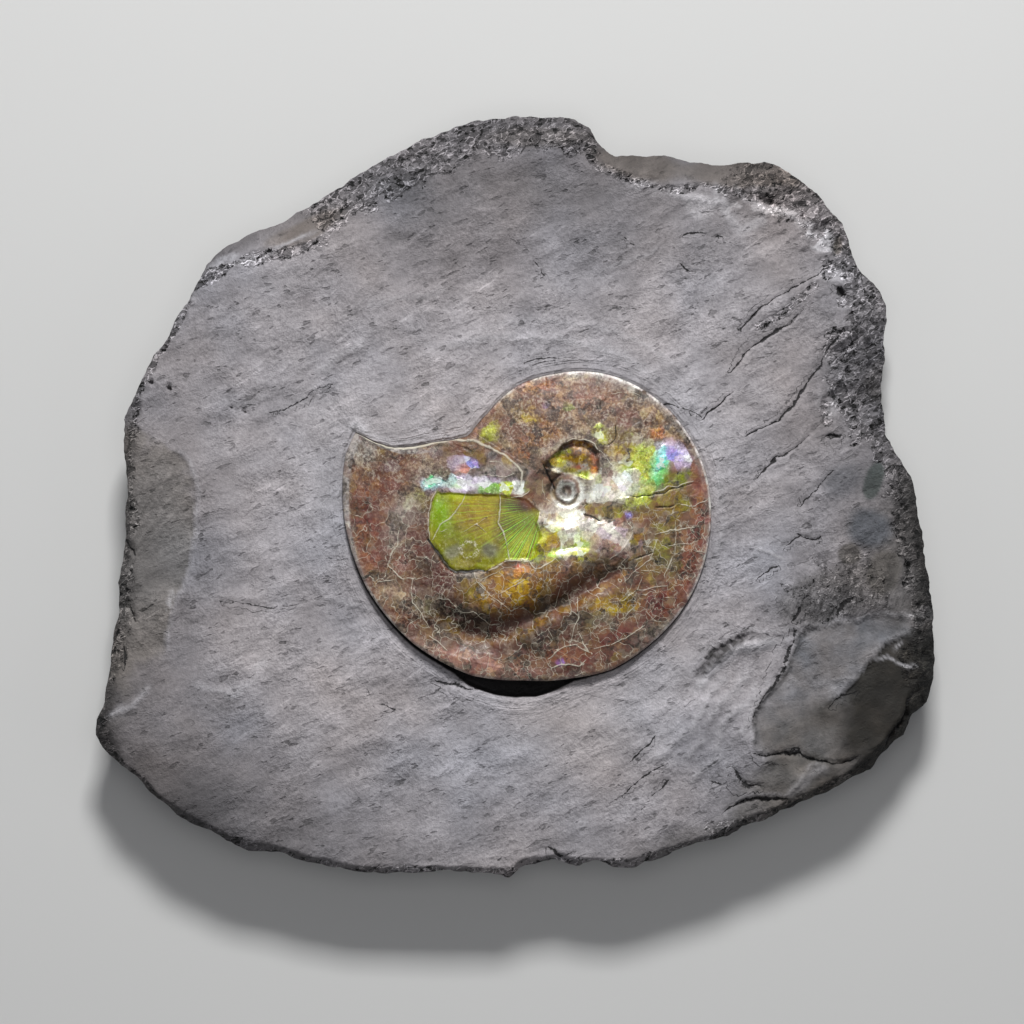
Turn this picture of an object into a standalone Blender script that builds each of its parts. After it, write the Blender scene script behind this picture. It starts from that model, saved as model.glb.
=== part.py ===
"""An ammolite specimen: an ammonite that keeps its iridescent shell, lying in the slab of shale it formed in.

The slab lies flat with the fossil on top. Lengths are millimetres, turned into metres where points are placed.
+Z is up, +X and +Y are right and up as the specimen is looked down on, and the origin is on the floor below
the middle of the slab.
"""
import bmesh
import bpy
import numpy as np

MM = 0.001
CLEARANCE = 0.3

# The slab: its outline goes clockwise from the upper left, each point on a corner of the broken edge.
SLAB_THICKNESS = 60.0
SLAB_CELLS = 34
SLAB_OUTLINE = [
    (-248, 188), (-212, 213), (-167, 233), (-113, 269), (-60, 295), (-30, 304), (-1, 307), (36, 306),
    (60, 297), (73, 280), (98, 276), (143, 269), (201, 270), (228, 257), (253, 234), (271, 205), (282, 180),
    (300, 156), (299, 124), (297, 91), (299, 50), (313, 29), (324, 0), (332, -52), (338, -99), (338, -148),
    (332, -166), (313, -191), (296, -208), (273, -226), (237, -244), (201, -260), (172, -274), (129, -285),
    (93, -299), (67, -293), (48, -297), (31, -292), (11, -296), (-5, -307), (-41, -302), (-101, -304),
    (-146, -298), (-192, -286), (-214, -285), (-245, -269), (-288, -244), (-319, -215), (-339, -193),
    (-328, -141), (-325, -112), (-319, -65), (-314, -31), (-314, -6), (-316, 38), (-315, 63), (-300, 97),
    (-281, 126), (-264, 156)]

# The broken rim slopes from the top face down to the outline: degrees anticlockwise from +X, width, drop.
SLAB_RIM = [
    (0, 20, 20), (20, 42, 24), (35, 28, 20), (45, 24, 14), (60, 18, 14), (75, 16, 12), (90, 24, 14),
    (110, 32, 20), (125, 22, 18), (140, 16, 14), (160, 10, 10), (180, 10, 12), (212, 16, 14), (235, 6, 10),
    (270, 4, 8), (300, 8, 10), (320, 12, 14), (340, 19, 18), (360, 20, 20)]

# The side wall steps in along the bedding towards the floor: share of the rim's height, distance in from the
# outline. The steps fade in and out round the slab.
SLAB_WALL = [(0.78, 1.0), (0.70, 6.0), (0.42, 7.0), (0.34, 13.0), (0.0, 16.0)]
SLAB_WALL_WAVES = 9

# Hollows and swellings of the top face: centre, half lengths, turn in degrees, height.
SLAB_RELIEF = [
    ((184, -134), (50, 22), 15, -7.0),
    ((205, -185), (45, 26), 50, 2.5),
    ((275, -165), (80, 75), 30, -5.0),
    ((-286, -38), (34, 80), 0, -2.5),
    ((228, 215), (70, 34), -25, -5.0),
    ((300, 70), (45, 90), 0, -4.0),
    ((60, 240), (150, 60), 5, 2.0),
    ((-150, 40), (110, 150), 20, 1.5),
    ((-60, -230), (200, 60), 0, -2.0)]

# The shell: an ammonite coil about its umbilicus, whose outer edge is given clockwise from the point where
# the last whorl meets the one before it: degrees anticlockwise from +X, distance from the umbilicus.
UMBILICUS = np.array((41.0, 4.5))
UMBILICUS_RADIUS = 35.0
UMBILICUS_FLOOR = 3.0
WHORL_EDGE = [
    (148.7, 89.3), (135.7, 88.4), (116, 92.6), (96, 94.0), (74, 98.1), (50, 101.9), (28, 106.4), (9, 111.7),
    (-10, 117.2), (-22, 121.6), (-43, 131.2), (-61, 139.2), (-76, 147.2), (-88, 149.6), (-103, 155.2),
    (-117, 165.6), (-135, 172.8), (-154, 177.6), (-174, 179.2), (-189, 179.2), (-195.4, 175.2)]
APERTURE_EDGE = [(-111.5, 42.8), (-97, 38.8), (-81, 39.6), (-67, 42.8), (-51, 44.7), (-39, 47.5)]
SHELL_CELLS = 40
SHELL_MIDDLE = np.array((4.0, -50.0))
SHELL_ROUNDING = 4.0

# Heights above the slab's top along the coil: degrees clockwise from the junction, shoulder, outer edge.
COIL_HEIGHTS = [(0, 15, 2), (60, 15, 2), (140, 17, 3), (200, 18, 4), (240, 19, 8), (290, 20, 8), (348, 20, 3),
                (360, 15, 2)]

# The underside is a shallow bowl in the shale: share of the outline's size, depth below the slab's top.
SHELL_UNDERSIDE = [(1.0, 2.0), (0.93, 9.0), (0.75, 14.0)]

# Damage to the shell: the window broken through to an inner whorl, and swellings of the crushed body chamber.
SHELL_RELIEF = [
    ((46, 29), (22, 18), 0, -7.0),
    ((14, -68), (55, 22), 22, 4.0),
    ((-20, -22), (40, 26), 0, 2.0)]
FOLD = [(108, -35), (60, -63), (28, -87), (4, -100), (-36, -107), (-50, -83)]
FOLD_DEPTH = 9.0
FOLD_WIDTH = 13.0

# The open crescent between the shell's lower edge and the shale: degrees about the umbilicus, width.
CRESCENT = [(-165, 0), (-160, 0.9), (-126, 0.9), (-122, 2.4), (-117, 9.0), (-110, 13.2), (-105, 14.4), (-99, 13.2),
            (-94, 8.6), (-88, 3.0), (-82, 1.0), (-78, 0)]
CRESCENT_DEPTH = 13.0
CRESCENT_FULL_DEPTH_WIDTH = 8.0


def from_table(table, at, column=1):
    """Reads a value off a table, in a straight line between its rows."""
    rows = np.array(sorted(table), dtype=float)
    return np.interp(at, rows[:, 0], rows[:, column])


def outline_ring(corners, count):
    """Cuts a closed outline into count points, with every corner kept."""
    closed = np.array(corners + corners[:1], dtype=float)
    lengths = np.hypot(*np.diff(closed, axis=0).T)
    corner_turns = np.round(np.concatenate([[0], np.cumsum(lengths)]) / lengths.sum() * count)
    turns = np.arange(count)
    return np.column_stack([np.interp(turns, corner_turns, closed[:, axis]) for axis in (0, 1)])


def shell_ring(count):
    """Cuts the shell's outline into count points: the coil's edge clockwise, then back along the aperture."""
    aperture_count = count // 8
    coil_turns = np.linspace(WHORL_EDGE[0][0], WHORL_EDGE[-1][0], count - aperture_count)
    reach = from_table(WHORL_EDGE, coil_turns)
    direction = np.column_stack([np.cos(np.radians(coil_turns)), np.sin(np.radians(coil_turns))])
    coil = UMBILICUS + direction * reach[:, None]
    back = np.vstack([coil[-1:], APERTURE_EDGE, coil[:1]])
    along = np.concatenate([[0], np.cumsum(np.hypot(*np.diff(back, axis=0).T))])
    stops = np.linspace(0, along[-1], aperture_count + 2)[1:-1]
    return np.vstack([coil, np.column_stack([np.interp(stops, along, back[:, axis]) for axis in (0, 1)])])


def grown(ring, distance):
    """Moves a clockwise ring outwards, by one distance or by one for each point."""
    along = np.roll(ring, -1, axis=0) - np.roll(ring, 1, axis=0)
    outward = np.column_stack([-along[:, 1], along[:, 0]]) / np.hypot(*along.T)[:, None]
    return ring + outward * np.broadcast_to(distance, len(ring))[:, None]


def angle_about(centre, places):
    """Degrees anticlockwise from +X of places seen from a centre, from -180 to 180."""
    return np.degrees(np.arctan2(places[:, 1] - centre[1], places[:, 0] - centre[0]))


def relief(places, lumps):
    """Adds up smooth lumps and hollows, each highest at its centre and gone at its edge."""
    total = np.zeros(len(places))
    for centre, (half_length, half_width), turn, height in lumps:
        offset = places - np.array(centre)
        cosine, sine = np.cos(np.radians(turn)), np.sin(np.radians(turn))
        along = (offset[:, 0] * cosine + offset[:, 1] * sine) / half_length
        across = (offset[:, 1] * cosine - offset[:, 0] * sine) / half_width
        total += height * np.clip(1 - along ** 2 - across ** 2, 0, 1) ** 0.7
    return total


def distance_to_line(places, line):
    """Distance from each place to the nearest point of a line of straight pieces."""
    nearest = np.full(len(places), np.inf)
    for start, end in zip(np.array(line[:-1], dtype=float), np.array(line[1:], dtype=float)):
        piece = end - start
        share = np.clip((places - start) @ piece / (piece @ piece), 0, 1)
        nearest = np.minimum(nearest, np.hypot(*(places - start - share[:, None] * piece).T))
    return nearest


def slab_height(places):
    """Height of the slab's top face, which undulates gently over its hollows and swellings."""
    waves = 1.2 * np.sin(places[:, 0] / 61 + 1) * np.sin(places[:, 1] / 47)
    return SLAB_THICKNESS + waves + relief(places, SLAB_RELIEF)


def shell_height(places):
    """Height of the shell's upper side: a low dome about the umbilicus, with its damage."""
    reach = np.hypot(*(places - UMBILICUS).T)
    turn = angle_about(UMBILICUS, places)
    coil = (WHORL_EDGE[0][0] - turn) % 360
    edge_reach = from_table([(WHORL_EDGE[0][0] - degrees, radius) for degrees, radius in WHORL_EDGE], coil)
    shoulder = from_table(COIL_HEIGHTS, coil)
    edge = from_table(COIL_HEIGHTS, coil, 2)
    outward = np.clip((reach - UMBILICUS_RADIUS) / (edge_reach - UMBILICUS_RADIUS), 0, 1)
    inward = np.clip(reach / UMBILICUS_RADIUS, 0, 1)
    flank = edge + (shoulder - edge) * (1 - outward ** 1.8)
    well = UMBILICUS_FLOOR + (shoulder - UMBILICUS_FLOOR) * inward ** 2 * (3 - 2 * inward)
    dome = np.where(reach > UMBILICUS_RADIUS, flank, well)
    fold = FOLD_DEPTH * np.exp(-(distance_to_line(places, FOLD) / FOLD_WIDTH) ** 2)
    return SLAB_THICKNESS + dome + relief(places, SHELL_RELIEF) - fold


def spread_grid(bm, cells, ring, middle, rim_width, height, rim_drop):
    """Spreads a square grid over the inside of a ring, its outermost cells covering the sloping rim.

    Each point keeps how far round the ring it lies in the layer turn, so that walls can follow it.
    """
    bmesh.ops.create_grid(bm, x_segments=cells, y_segments=cells, size=1)
    turn_layer = bm.verts.layers.int.new("turn")
    u, v = np.array([vert.co[:2] for vert in bm.verts]).T
    reach = np.maximum(np.maximum(abs(u), abs(v)), 1e-6)
    # Each of the square's four sides takes a quarter of the ring, clockwise from the top left corner.
    quarter = np.select([v >= reach - 1e-6, u >= reach - 1e-6, v <= 1e-6 - reach],
                        [u / reach + 1, 3 - v / reach, 5 - u / reach], 7 + v / reach) / 8
    turns = (quarter * len(ring)) % len(ring)
    closed = np.vstack([ring, ring[:1]])
    rim = np.column_stack([np.interp(turns, range(len(closed)), closed[:, axis]) for axis in (0, 1)])
    outermost = reach > 1 - 1e-4
    rim_turns = np.round(turns).astype(int) % len(ring)
    width_share = rim_width[rim_turns] / np.hypot(*(rim - middle).T)
    share = np.where(outermost, 1, reach / (1 - 2 / cells) * (1 - width_share))
    places = middle + (rim - middle) * share[:, None]
    heights = height(places) - np.where(outermost, rim_drop[rim_turns], 0)
    for vert, place, z, rim_turn in zip(bm.verts, places, heights, rim_turns):
        vert.co = (place[0] * MM, place[1] * MM, z * MM)
        vert[turn_layer] = int(rim_turn)


def draw_wall(bm, ring, heights):
    """Draws the mesh's open edge on to a ring of points at the given heights."""
    turn_layer = bm.verts.layers.int["turn"]
    open_edges = [edge for edge in bm.edges if edge.is_boundary]
    for item in bmesh.ops.extrude_edge_only(bm, edges=open_edges)["geom"]:
        if isinstance(item, bmesh.types.BMVert):
            turn = item[turn_layer]
            item.co = (ring[turn][0] * MM, ring[turn][1] * MM, heights[turn] * MM)


def close_below(bm):
    """Closes the mesh's open edge with one flat face and turns every face outwards."""
    bmesh.ops.contextual_create(bm, geom=[edge for edge in bm.edges if edge.is_boundary])
    bmesh.ops.recalc_face_normals(bm, faces=bm.faces[:])


def edge_heights(bm, count):
    """The heights, in millimetres, round the mesh's open edge."""
    turn_layer = bm.verts.layers.int["turn"]
    heights = np.zeros(count)
    for vert in bm.verts:
        if vert.is_boundary:
            heights[vert[turn_layer]] = vert.co.z / MM
    return heights


def make_slab():
    """The slab: top face, broken rim, side wall and a flat underside to rest on."""
    bm = bmesh.new()
    ring = outline_ring(SLAB_OUTLINE, 4 * SLAB_CELLS)
    turn = angle_about((0, 0), ring) % 360
    spread_grid(bm, SLAB_CELLS, ring, np.zeros(2), from_table(SLAB_RIM, turn), slab_height,
                from_table(SLAB_RIM, turn, 2))
    rim = edge_heights(bm, len(ring))
    steepness = 0.6 + 0.4 * np.sin(np.radians(turn) * SLAB_WALL_WAVES)
    for share, inset in SLAB_WALL:
        inset_here = inset * (steepness if share else 1)
        draw_wall(bm, ring * (1 - inset_here / np.hypot(*ring.T))[:, None], rim * share)
    close_below(bm)
    return bm


def underside_ring(ring, share):
    """The shell's outline drawn in towards its middle."""
    return SHELL_MIDDLE + (ring - SHELL_MIDDLE) * share


def make_shell():
    """The ammonite: domed upper side with its damage, rounded edge, and a shallow underside."""
    bm = bmesh.new()
    ring = shell_ring(4 * SHELL_CELLS)
    rounding = np.full(len(ring), SHELL_ROUNDING)
    spread_grid(bm, SHELL_CELLS, ring, SHELL_MIDDLE, rounding, shell_height, rounding / 3)
    for share, depth in SHELL_UNDERSIDE:
        draw_wall(bm, underside_ring(ring, share), np.full(len(ring), SLAB_THICKNESS - depth))
    close_below(bm)
    return bm


def make_pocket():
    """What the shale leaves free for the shell, the open crescent below its lower edge included."""
    bm = bmesh.new()
    ring = shell_ring(4 * SHELL_CELLS)
    crescent = from_table(CRESCENT, angle_about(UMBILICUS, ring))
    deepening = CRESCENT_DEPTH * np.clip(crescent / CRESCENT_FULL_DEPTH_WIDTH, 0, 1)
    bmesh.ops.create_circle(bm, cap_ends=True, segments=len(ring), radius=1)
    turn_layer = bm.verts.layers.int.new("turn")
    mouth = grown(ring, CLEARANCE + crescent)
    for turn, vert in enumerate(bm.verts):
        vert[turn_layer] = turn
        vert.co = (mouth[turn][0] * MM, mouth[turn][1] * MM, 2 * SLAB_THICKNESS * MM)
    for share, depth in SHELL_UNDERSIDE:
        reach = grown(underside_ring(ring, share), CLEARANCE + crescent * (share > 0.9))
        floor = SLAB_THICKNESS - np.maximum(depth, deepening) - CLEARANCE
        draw_wall(bm, reach, floor)
    close_below(bm)
    return bm


def add_object(name, bm, collection):
    """Puts a finished mesh in the scene."""
    mesh = bpy.data.meshes.new(name)
    bm.to_mesh(mesh)
    bm.free()
    piece = bpy.data.objects.new(name, mesh)
    collection.objects.link(piece)
    return piece


def finish(name, colour, roughness, metallic):
    """A plain surface of one colour."""
    material = bpy.data.materials.new(name)
    material.use_nodes = True
    surface = material.node_tree.nodes["Principled BSDF"]
    surface.inputs["Base Color"].default_value = (*colour, 1)
    surface.inputs["Roughness"].default_value = roughness
    surface.inputs["Metallic"].default_value = metallic
    return material


for old in list(bpy.data.objects):
    bpy.data.objects.remove(old, do_unlink=True)

specimen = bpy.data.collections.new("ammolite_specimen")
cutters = bpy.data.collections.new("cutters")
for group in (specimen, cutters):
    bpy.context.scene.collection.children.link(group)

slab = add_object("shale_slab", make_slab(), specimen)
shell = add_object("ammonite_shell", make_shell(), specimen)
pocket = add_object("shell_pocket", make_pocket(), cutters)
slab.data.materials.append(finish("grey_shale", (0.26, 0.25, 0.27), 0.85, 0.0))
shell.data.materials.append(finish("brown_nacre", (0.24, 0.16, 0.08), 0.3, 0.0))

cut = slab.modifiers.new("pocket", "BOOLEAN")
cut.operation = "DIFFERENCE"
cut.object = pocket
pocket.hide_render = True
pocket.display_type = "WIRE"
for piece in (slab, shell):
    piece.data.shade_smooth()
    piece.data.set_sharp_from_angle(angle=np.radians(35))
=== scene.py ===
import bmesh
import bpy
import numpy as np
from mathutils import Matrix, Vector, kdtree, noise


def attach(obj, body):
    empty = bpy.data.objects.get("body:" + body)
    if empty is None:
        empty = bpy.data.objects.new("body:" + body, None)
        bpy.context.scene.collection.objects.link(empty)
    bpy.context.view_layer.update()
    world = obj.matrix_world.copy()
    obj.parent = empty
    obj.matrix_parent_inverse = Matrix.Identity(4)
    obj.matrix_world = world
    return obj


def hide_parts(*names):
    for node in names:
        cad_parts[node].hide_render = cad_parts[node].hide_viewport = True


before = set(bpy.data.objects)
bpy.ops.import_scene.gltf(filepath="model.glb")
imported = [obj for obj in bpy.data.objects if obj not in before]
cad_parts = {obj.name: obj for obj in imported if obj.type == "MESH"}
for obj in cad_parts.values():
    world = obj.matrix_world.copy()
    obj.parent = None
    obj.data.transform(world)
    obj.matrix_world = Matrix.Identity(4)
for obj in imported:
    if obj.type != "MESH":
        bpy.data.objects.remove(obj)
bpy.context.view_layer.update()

# The shale slab.
# The grey bedded shale that the ammonite was found in, split along its bedding and broken round the edge.
# The upper face was worked down to the fossil with fine chisels, so it is full of low flakes and tool marks.
MM = 0.001
SLAB_TOP = 60.0

# Outlines in millimetres from the slab's middle, clockwise as the fossil is looked down on. The brow is where
# the upper face breaks away to the rim.
SLAB_OUTLINE = [
    (-248, 188), (-231, 202), (-212, 213), (-192, 220), (-167, 233), (-138, 254), (-113, 269), (-84, 284),
    (-60, 295), (-30, 304), (-1, 307), (36, 306), (48, 304), (60, 297), (64, 290), (73, 280), (80, 275),
    (98, 276), (120, 275), (143, 269), (165, 268), (201, 270), (212, 266), (228, 257), (242, 245),
    (253, 234), (264, 221), (271, 205), (273, 194), (282, 180), (293, 167), (300, 156), (301, 142),
    (299, 124), (300, 108), (297, 91), (298, 70), (299, 50), (304, 42), (313, 29), (320, 16), (324, 0),
    (327, -22), (332, -52), (336, -80), (338, -99), (338, -125), (338, -148), (332, -166), (320, -177),
    (313, -191), (296, -208), (287, -220), (273, -226), (262, -233), (237, -244), (219, -251), (201, -260),
    (183, -266), (172, -274), (148, -279), (129, -285), (114, -292), (93, -299), (78, -298), (67, -293),
    (48, -297), (31, -292), (17, -295), (4, -298), (-5, -307), (-20, -303), (-41, -302), (-72, -302),
    (-101, -304), (-124, -303), (-146, -298), (-169, -294), (-192, -286), (-214, -285), (-232, -278),
    (-245, -269), (-263, -262), (-288, -244), (-304, -226), (-319, -215), (-332, -204), (-339, -193),
    (-338, -179), (-332, -168), (-328, -141), (-325, -112), (-320, -94), (-319, -65), (-317, -49),
    (-314, -31), (-314, -6), (-312, 12), (-314, 25), (-316, 38), (-315, 63), (-309, 77), (-300, 97),
    (-291, 114), (-281, 126), (-275, 141), (-264, 156), (-256, 173)]
SLAB_BROW = [
    (-247, 181), (-216, 190), (-195, 200), (-176, 204), (-155, 213), (-141, 221), (-124, 232), (-106, 248),
    (-82, 248), (-57, 257), (-28, 272), (9, 280), (36, 290), (56, 284), (64, 264), (92, 257), (116, 252),
    (148, 252), (160, 250), (170, 244), (201, 245), (215, 250), (228, 240), (240, 225), (250, 205),
    (257, 188), (269, 163), (272, 138), (256, 120), (246, 92), (243, 68), (271, 59), (296, 25), (304, 0),
    (311, -33), (318, -80), (318, -112), (324, -141), (316, -168), (304, -185), (285, -208), (264, -223),
    (237, -236), (216, -245), (189, -256), (168, -267), (140, -276), (108, -287), (84, -292), (60, -291),
    (36, -287), (4, -292), (-8, -300), (-40, -297), (-100, -298), (-140, -294), (-188, -281), (-228, -273),
    (-276, -247), (-315, -213), (-324, -168), (-312, -130), (-303, -100), (-306, -72), (-304, -47),
    (-310, -11), (-306, 23), (-300, 72), (-302, 95), (-291, 108), (-275, 133), (-260, 160)]

# How far the rim breaks away, by degrees anticlockwise from +X.
SLAB_RIM = [
    (0, 20), (20, 24), (35, 20), (44, 14), (52, 16), (74, 14), (90, 14), (110, 20), (122, 18), (134, 16),
    (144, 14), (160, 10), (180, 12), (212, 14), (235, 10), (270, 8), (300, 10), (320, 14), (340, 18),
    (360, 20)]

# Hollows and swellings of the upper face: centre, half lengths, turn in degrees, height.
SLAB_RELIEF = [
    ((186, -140), (48, 20), 18, -3.0), ((205, -185), (45, 26), 50, 2.5), ((275, -165), (80, 75), 30, -3.0),
    ((-286, -38), (34, 80), 0, -1.5), ((228, 215), (70, 34), -25, -5.0), ((300, 70), (45, 90), 0, -4.0),
    ((60, 240), (150, 60), 5, 2.0), ((-150, 40), (110, 150), 20, 1.5), ((-60, -230), (200, 60), 0, -2.0)]

# Ledges of the upper face: the drop to the right of the line, how far that side stays low, how wide the step
# is, and the line. The named lines bound patches of colour too. The scar's ledge loses more than half of its
# drop towards its right end.
SCAR = [(140, -146), (147, -133), (152, -127), (158, -121), (167, -116), (176, -110), (185, -106),
        (193, -108), (202, -110), (214, -108), (226, -104)]
SCAR_FADING = 0.55
LOW_PLATE = [(255, -163), (259, -161), (268, -149), (276, -141), (286, -129), (303, -114), (315, -108)]
STEP_PLATES = [(192, -204), (191, -199), (190, -181), (191, -170), (198, -161), (207, -149), (218, -138),
               (221, -126), (225, -112), (233, -104), (245, -102)]
FAN_EDGE = [(-280, 42), (-261, 29), (-254, 4), (-258, -40), (-260, -57), (-272, -80), (-280, -107),
            (-280, -132)]
SLAB_LEDGES = [
    (4.5, 16, 5.0, SCAR), (2.2, 40, 1.2, LOW_PLATE), (1.9, 30, 3.0, STEP_PLATES),
    (-1.4, 22, 2.0, [(322, -96), (294, -95), (245, -103)]),
    (-1.8, 45, 2.0, FAN_EDGE[::-1]),
    (0.8, 20, 1.5, [(217, -143), (224, -148), (237, -152), (254, -148), (269, -146)]),
    (-2.6, 16, 2.5, [(175, 252), (185, 238), (205, 232), (228, 222), (250, 205)]),
    (1.2, 12, 2.0, [(-225, 74), (-208, 74), (-203, 78), (-195, 79)]),
    (1.6, 14, 3.0, [(-198, 68), (-194, 65), (-180, 71), (-159, 86), (-147, 90)]),
    (2.2, 14, 2.5, [(175, -244), (191, -240), (207, -241), (218, -239), (230, -226), (237, -217),
                    (247, -213)]),
    (1.2, 12, 2.0, [(-168, -66), (-150, -82), (-132, -86), (-110, -92)]),
    (1.0, 14, 2.0, [(60, 178), (92, 186), (118, 198)]),
    (1.0, 12, 2.0, [(-120, 150), (-96, 158), (-70, 160), (-52, 168)])]

# Ridges of the upper face: half width, height, how pale its crest is painted as a highlight where it catches
# the light, line.
SLAB_RIDGES = [
    (4.4, 2.6, 0.62, [(143, -160), (150, -149), (156, -140), (165, -130), (176, -123), (191, -119),
                      (207, -117), (218, -119)]),
    (3.5, 2.0, 0.3, [(196, -143), (191, -155), (185, -166), (176, -172), (167, -181), (161, -195),
                     (158, -210)]),
    (3.5, 2.0, 0.3, [(190, -134), (185, -144), (173, -157), (164, -166), (155, -176), (150, -187)]),
    (3.0, 1.8, 0.3, [(173, -141), (161, -152), (153, -164), (146, -178), (140, -196)]),
    (3.0, 1.6, 0.3, [(206, -140), (202, -152), (194, -163), (186, -180), (180, -196)]),
    (3.0, 1.5, 0.2, [(150, -192), (142, -202), (135, -210)]),
    (3.0, 1.5, 0.2, [(138, -187), (123, -202), (107, -212)]),
    (3.0, 1.4, 0.2, [(166, -206), (150, -218), (138, -232)]),
    (1.2, 0.8, 0.5, [(188, -40), (204, -47), (216, -52)]),
    (3.0, 1.4, 0.3, [(-163, 97), (-142, 112), (-120, 126)]),
    (4.0, 1.4, 0.4, [(-133, 52), (-126, 58), (-118, 50)]),
    (2.5, 1.0, 0.3, [(-262, -150), (-230, -158), (-205, -146)]),
    (5.0, 1.8, 0.3, [(205, 224), (180, 214), (168, 226)]),
    (3.0, 1.2, 0.3, [(120, 244), (150, 236), (176, 232)]),
    (2.5, 1.2, 0.4, [(-330, -178), (-306, -166), (-290, -150)]),
    (1.2, 0.5, 0.6, [(-252, 175), (-238, 184), (-217, 187), (-194, 197), (-176, 205), (-150, 217)]),
    (1.1, 0.4, 0.7, [(286, -130), (299, -129), (305, -133), (314, -137), (325, -136)]),
    (0.9, 0.3, 0.6, [(303, -124), (311, -114)]),
    (4.5, 2.0, 0.25, [(216, -243), (226, -232), (238, -221), (252, -215)]),
    (3.0, 1.2, 0.3, [(-70, 116), (-20, 128), (36, 126), (88, 112), (124, 84)]),
    (2.6, 0.9, 0.2, [(-40, 132), (10, 142), (60, 138), (108, 120), (140, 92)]),
    (3.0, 1.0, 0.2, [(150, 60), (164, 20), (166, -24), (154, -70)])]

# Cracks of the upper face: width, depth, line.
SLAB_CRACKS = [
    (1.1, 1.6, [(251, 184), (240, 177), (228, 172), (219, 163), (210, 160), (192, 147), (179, 131)]),
    (1.6, 2.0, [(230, 147), (222, 141), (215, 137), (203, 127), (190, 120), (179, 108), (171, 100)]),
    (1.1, 1.6, [(266, 143), (252, 120), (243, 104), (226, 80), (211, 60), (196, 54), (183, 48)]),
    (1.1, 1.6, [(246, 61), (232, 45), (219, 34), (210, 31), (201, 23), (192, 14)]),
    (0.9, 1.0, [(174, 84), (160, 72), (148, 61)]), (1.0, 1.2, [(255, 21), (241, 5), (228, -8)]),
    (2.6, 3.0, [(248, 45), (253, 48), (260, 49)]), (1.0, 1.0, [(15, 188), (20, 184), (24, 178)]),
    (1.1, 1.0, [(132, 209), (140, 211), (152, 211)]), (1.3, 1.5, [(133, 187), (139, 180), (143, 178)]),
    (1.0, 1.0, [(159, 208), (167, 207)]), (0.9, 0.8, [(88, 206), (95, 201)]),
    (2.4, 5.0, [(190, -205), (199, -208), (213, -205), (227, -206), (233, -210), (245, -211), (253, -214),
                (265, -212), (273, -209)]),
    (0.9, 1.0, [(218, -201), (230, -202)]),
    (3.0, 4.0, [(176, -219), (181, -227), (185, -231), (198, -231)]),
    (1.0, 1.2, [(157, -228), (167, -232)]),
    (1.8, 3.0, [(164, -254), (173, -247), (191, -242), (207, -243), (218, -241)]),
    (1.6, 2.5, [(210, -253), (225, -247), (236, -245)]), (1.4, 2.0, [(247, -231), (259, -230)]),
    (3.4, 5.0, [(296, -199), (303, -190), (309, -181), (314, -172), (317, -158)]),
    (0.9, 1.0, [(214, -42), (224, -34), (230, -30)]), (0.9, 1.0, [(191, -69), (200, -60), (210, -55)]),
    (0.9, 1.0, [(124, -228), (109, -241), (100, -250)]), (0.9, 1.0, [(84, -240), (100, -226), (120, -214)]),
    (0.9, 0.8, [(92, -214), (100, -205), (108, -198), (112, -190)]), (2.0, 2.5, [(-313, -33), (-304, -49)]),
    (2.2, 2.5, [(-311, -86), (-303, -102)]), (2.0, 2.5, [(-313, -117), (-312, -136)]),
    (0.9, 0.8, [(-237, -83), (-212, -87), (-186, -89), (-172, -86)]),
    (2.4, 4.0, [(-63, -147), (-48, -150), (-38, -155), (-30, -155)]),
    (1.8, 2.0, [(26, -281), (36, -288), (45, -284)]), (3.2, 6.0, [(256, 168), (262, 162)]),
    (2.4, 3.0, [(248, 131), (258, 133), (270, 132)]), (1.2, 1.2, [(262, 112), (270, 124), (280, 130)]),
    (1.0, 1.0, [(-196, 66), (-180, 71), (-159, 86), (-147, 90)]),
    (0.8, 0.8, [(-122, -150), (-112, -166), (-96, -170)]), (0.8, 0.8, [(96, 66), (120, 74), (148, 66)]),
    (0.9, 0.9, [(8, 108), (34, 112), (60, 108)]),
    (2.2, 2.5, [(224, -108), (219, -122), (216, -136), (207, -149), (198, -160)]),
    (1.2, 1.2, [(198, -160), (192, -171), (190, -181)]),
    (1.4, 1.5, [(250, -170), (262, -160), (274, -156)]), (2.2, 3.0, [(258, -96), (262, -86), (270, -80)]),
    (1.4, 2.0, [(226, -30), (236, -34), (244, -32)]), (1.8, 2.5, [(222, -100), (228, -88), (232, -80)])]

# Where the rock is broken up into hackly crumbs: half width, line.
SLAB_CRUMBS = [
    (4, [(-258, 170), (-220, 188), (-192, 192), (-168, 199), (-152, 207)]),
    (13, [(-150, 226), (-134, 234), (-110, 250), (-82, 264), (-58, 272), (-15, 286), (28, 293), (52, 283)]),
    (3, [(52, 281), (66, 264), (94, 254), (112, 247), (130, 244), (148, 250), (170, 244), (196, 248),
         (215, 255)]),
    (5, [(170, 244), (196, 240), (214, 238)]), (5, [(246, 72), (250, 62)]),
    (6, [(228, 242), (246, 226), (258, 214), (268, 189)]),
    (2.5, [(187, 133), (200, 138), (215, 148), (230, 160), (238, 168)]),
    (16, [(266, 176), (282, 157), (285, 117), (282, 84), (276, 62)]),
    (9, [(252, 136), (262, 110), (262, 84)]),
    (12, [(288, 56), (302, 34), (312, 6), (318, -19), (323, -60), (327, -100), (328, -150)]),
    (7, [(322, -170), (308, -195), (280, -222), (240, -243), (190, -262), (160, -274)]),
    (3, [(140, -280), (90, -294), (30, -291), (-8, -302), (-60, -300), (-140, -298), (-200, -284),
         (-250, -264)]),
    (4, [(-290, -240), (-335, -195), (-332, -172), (-324, -110)]),
    (7, [(-322, -110), (-314, -60), (-309, -10)]),
    (3, [(-309, -10), (-309, 40), (-302, 80), (-283, 120), (-262, 155)])]

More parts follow.
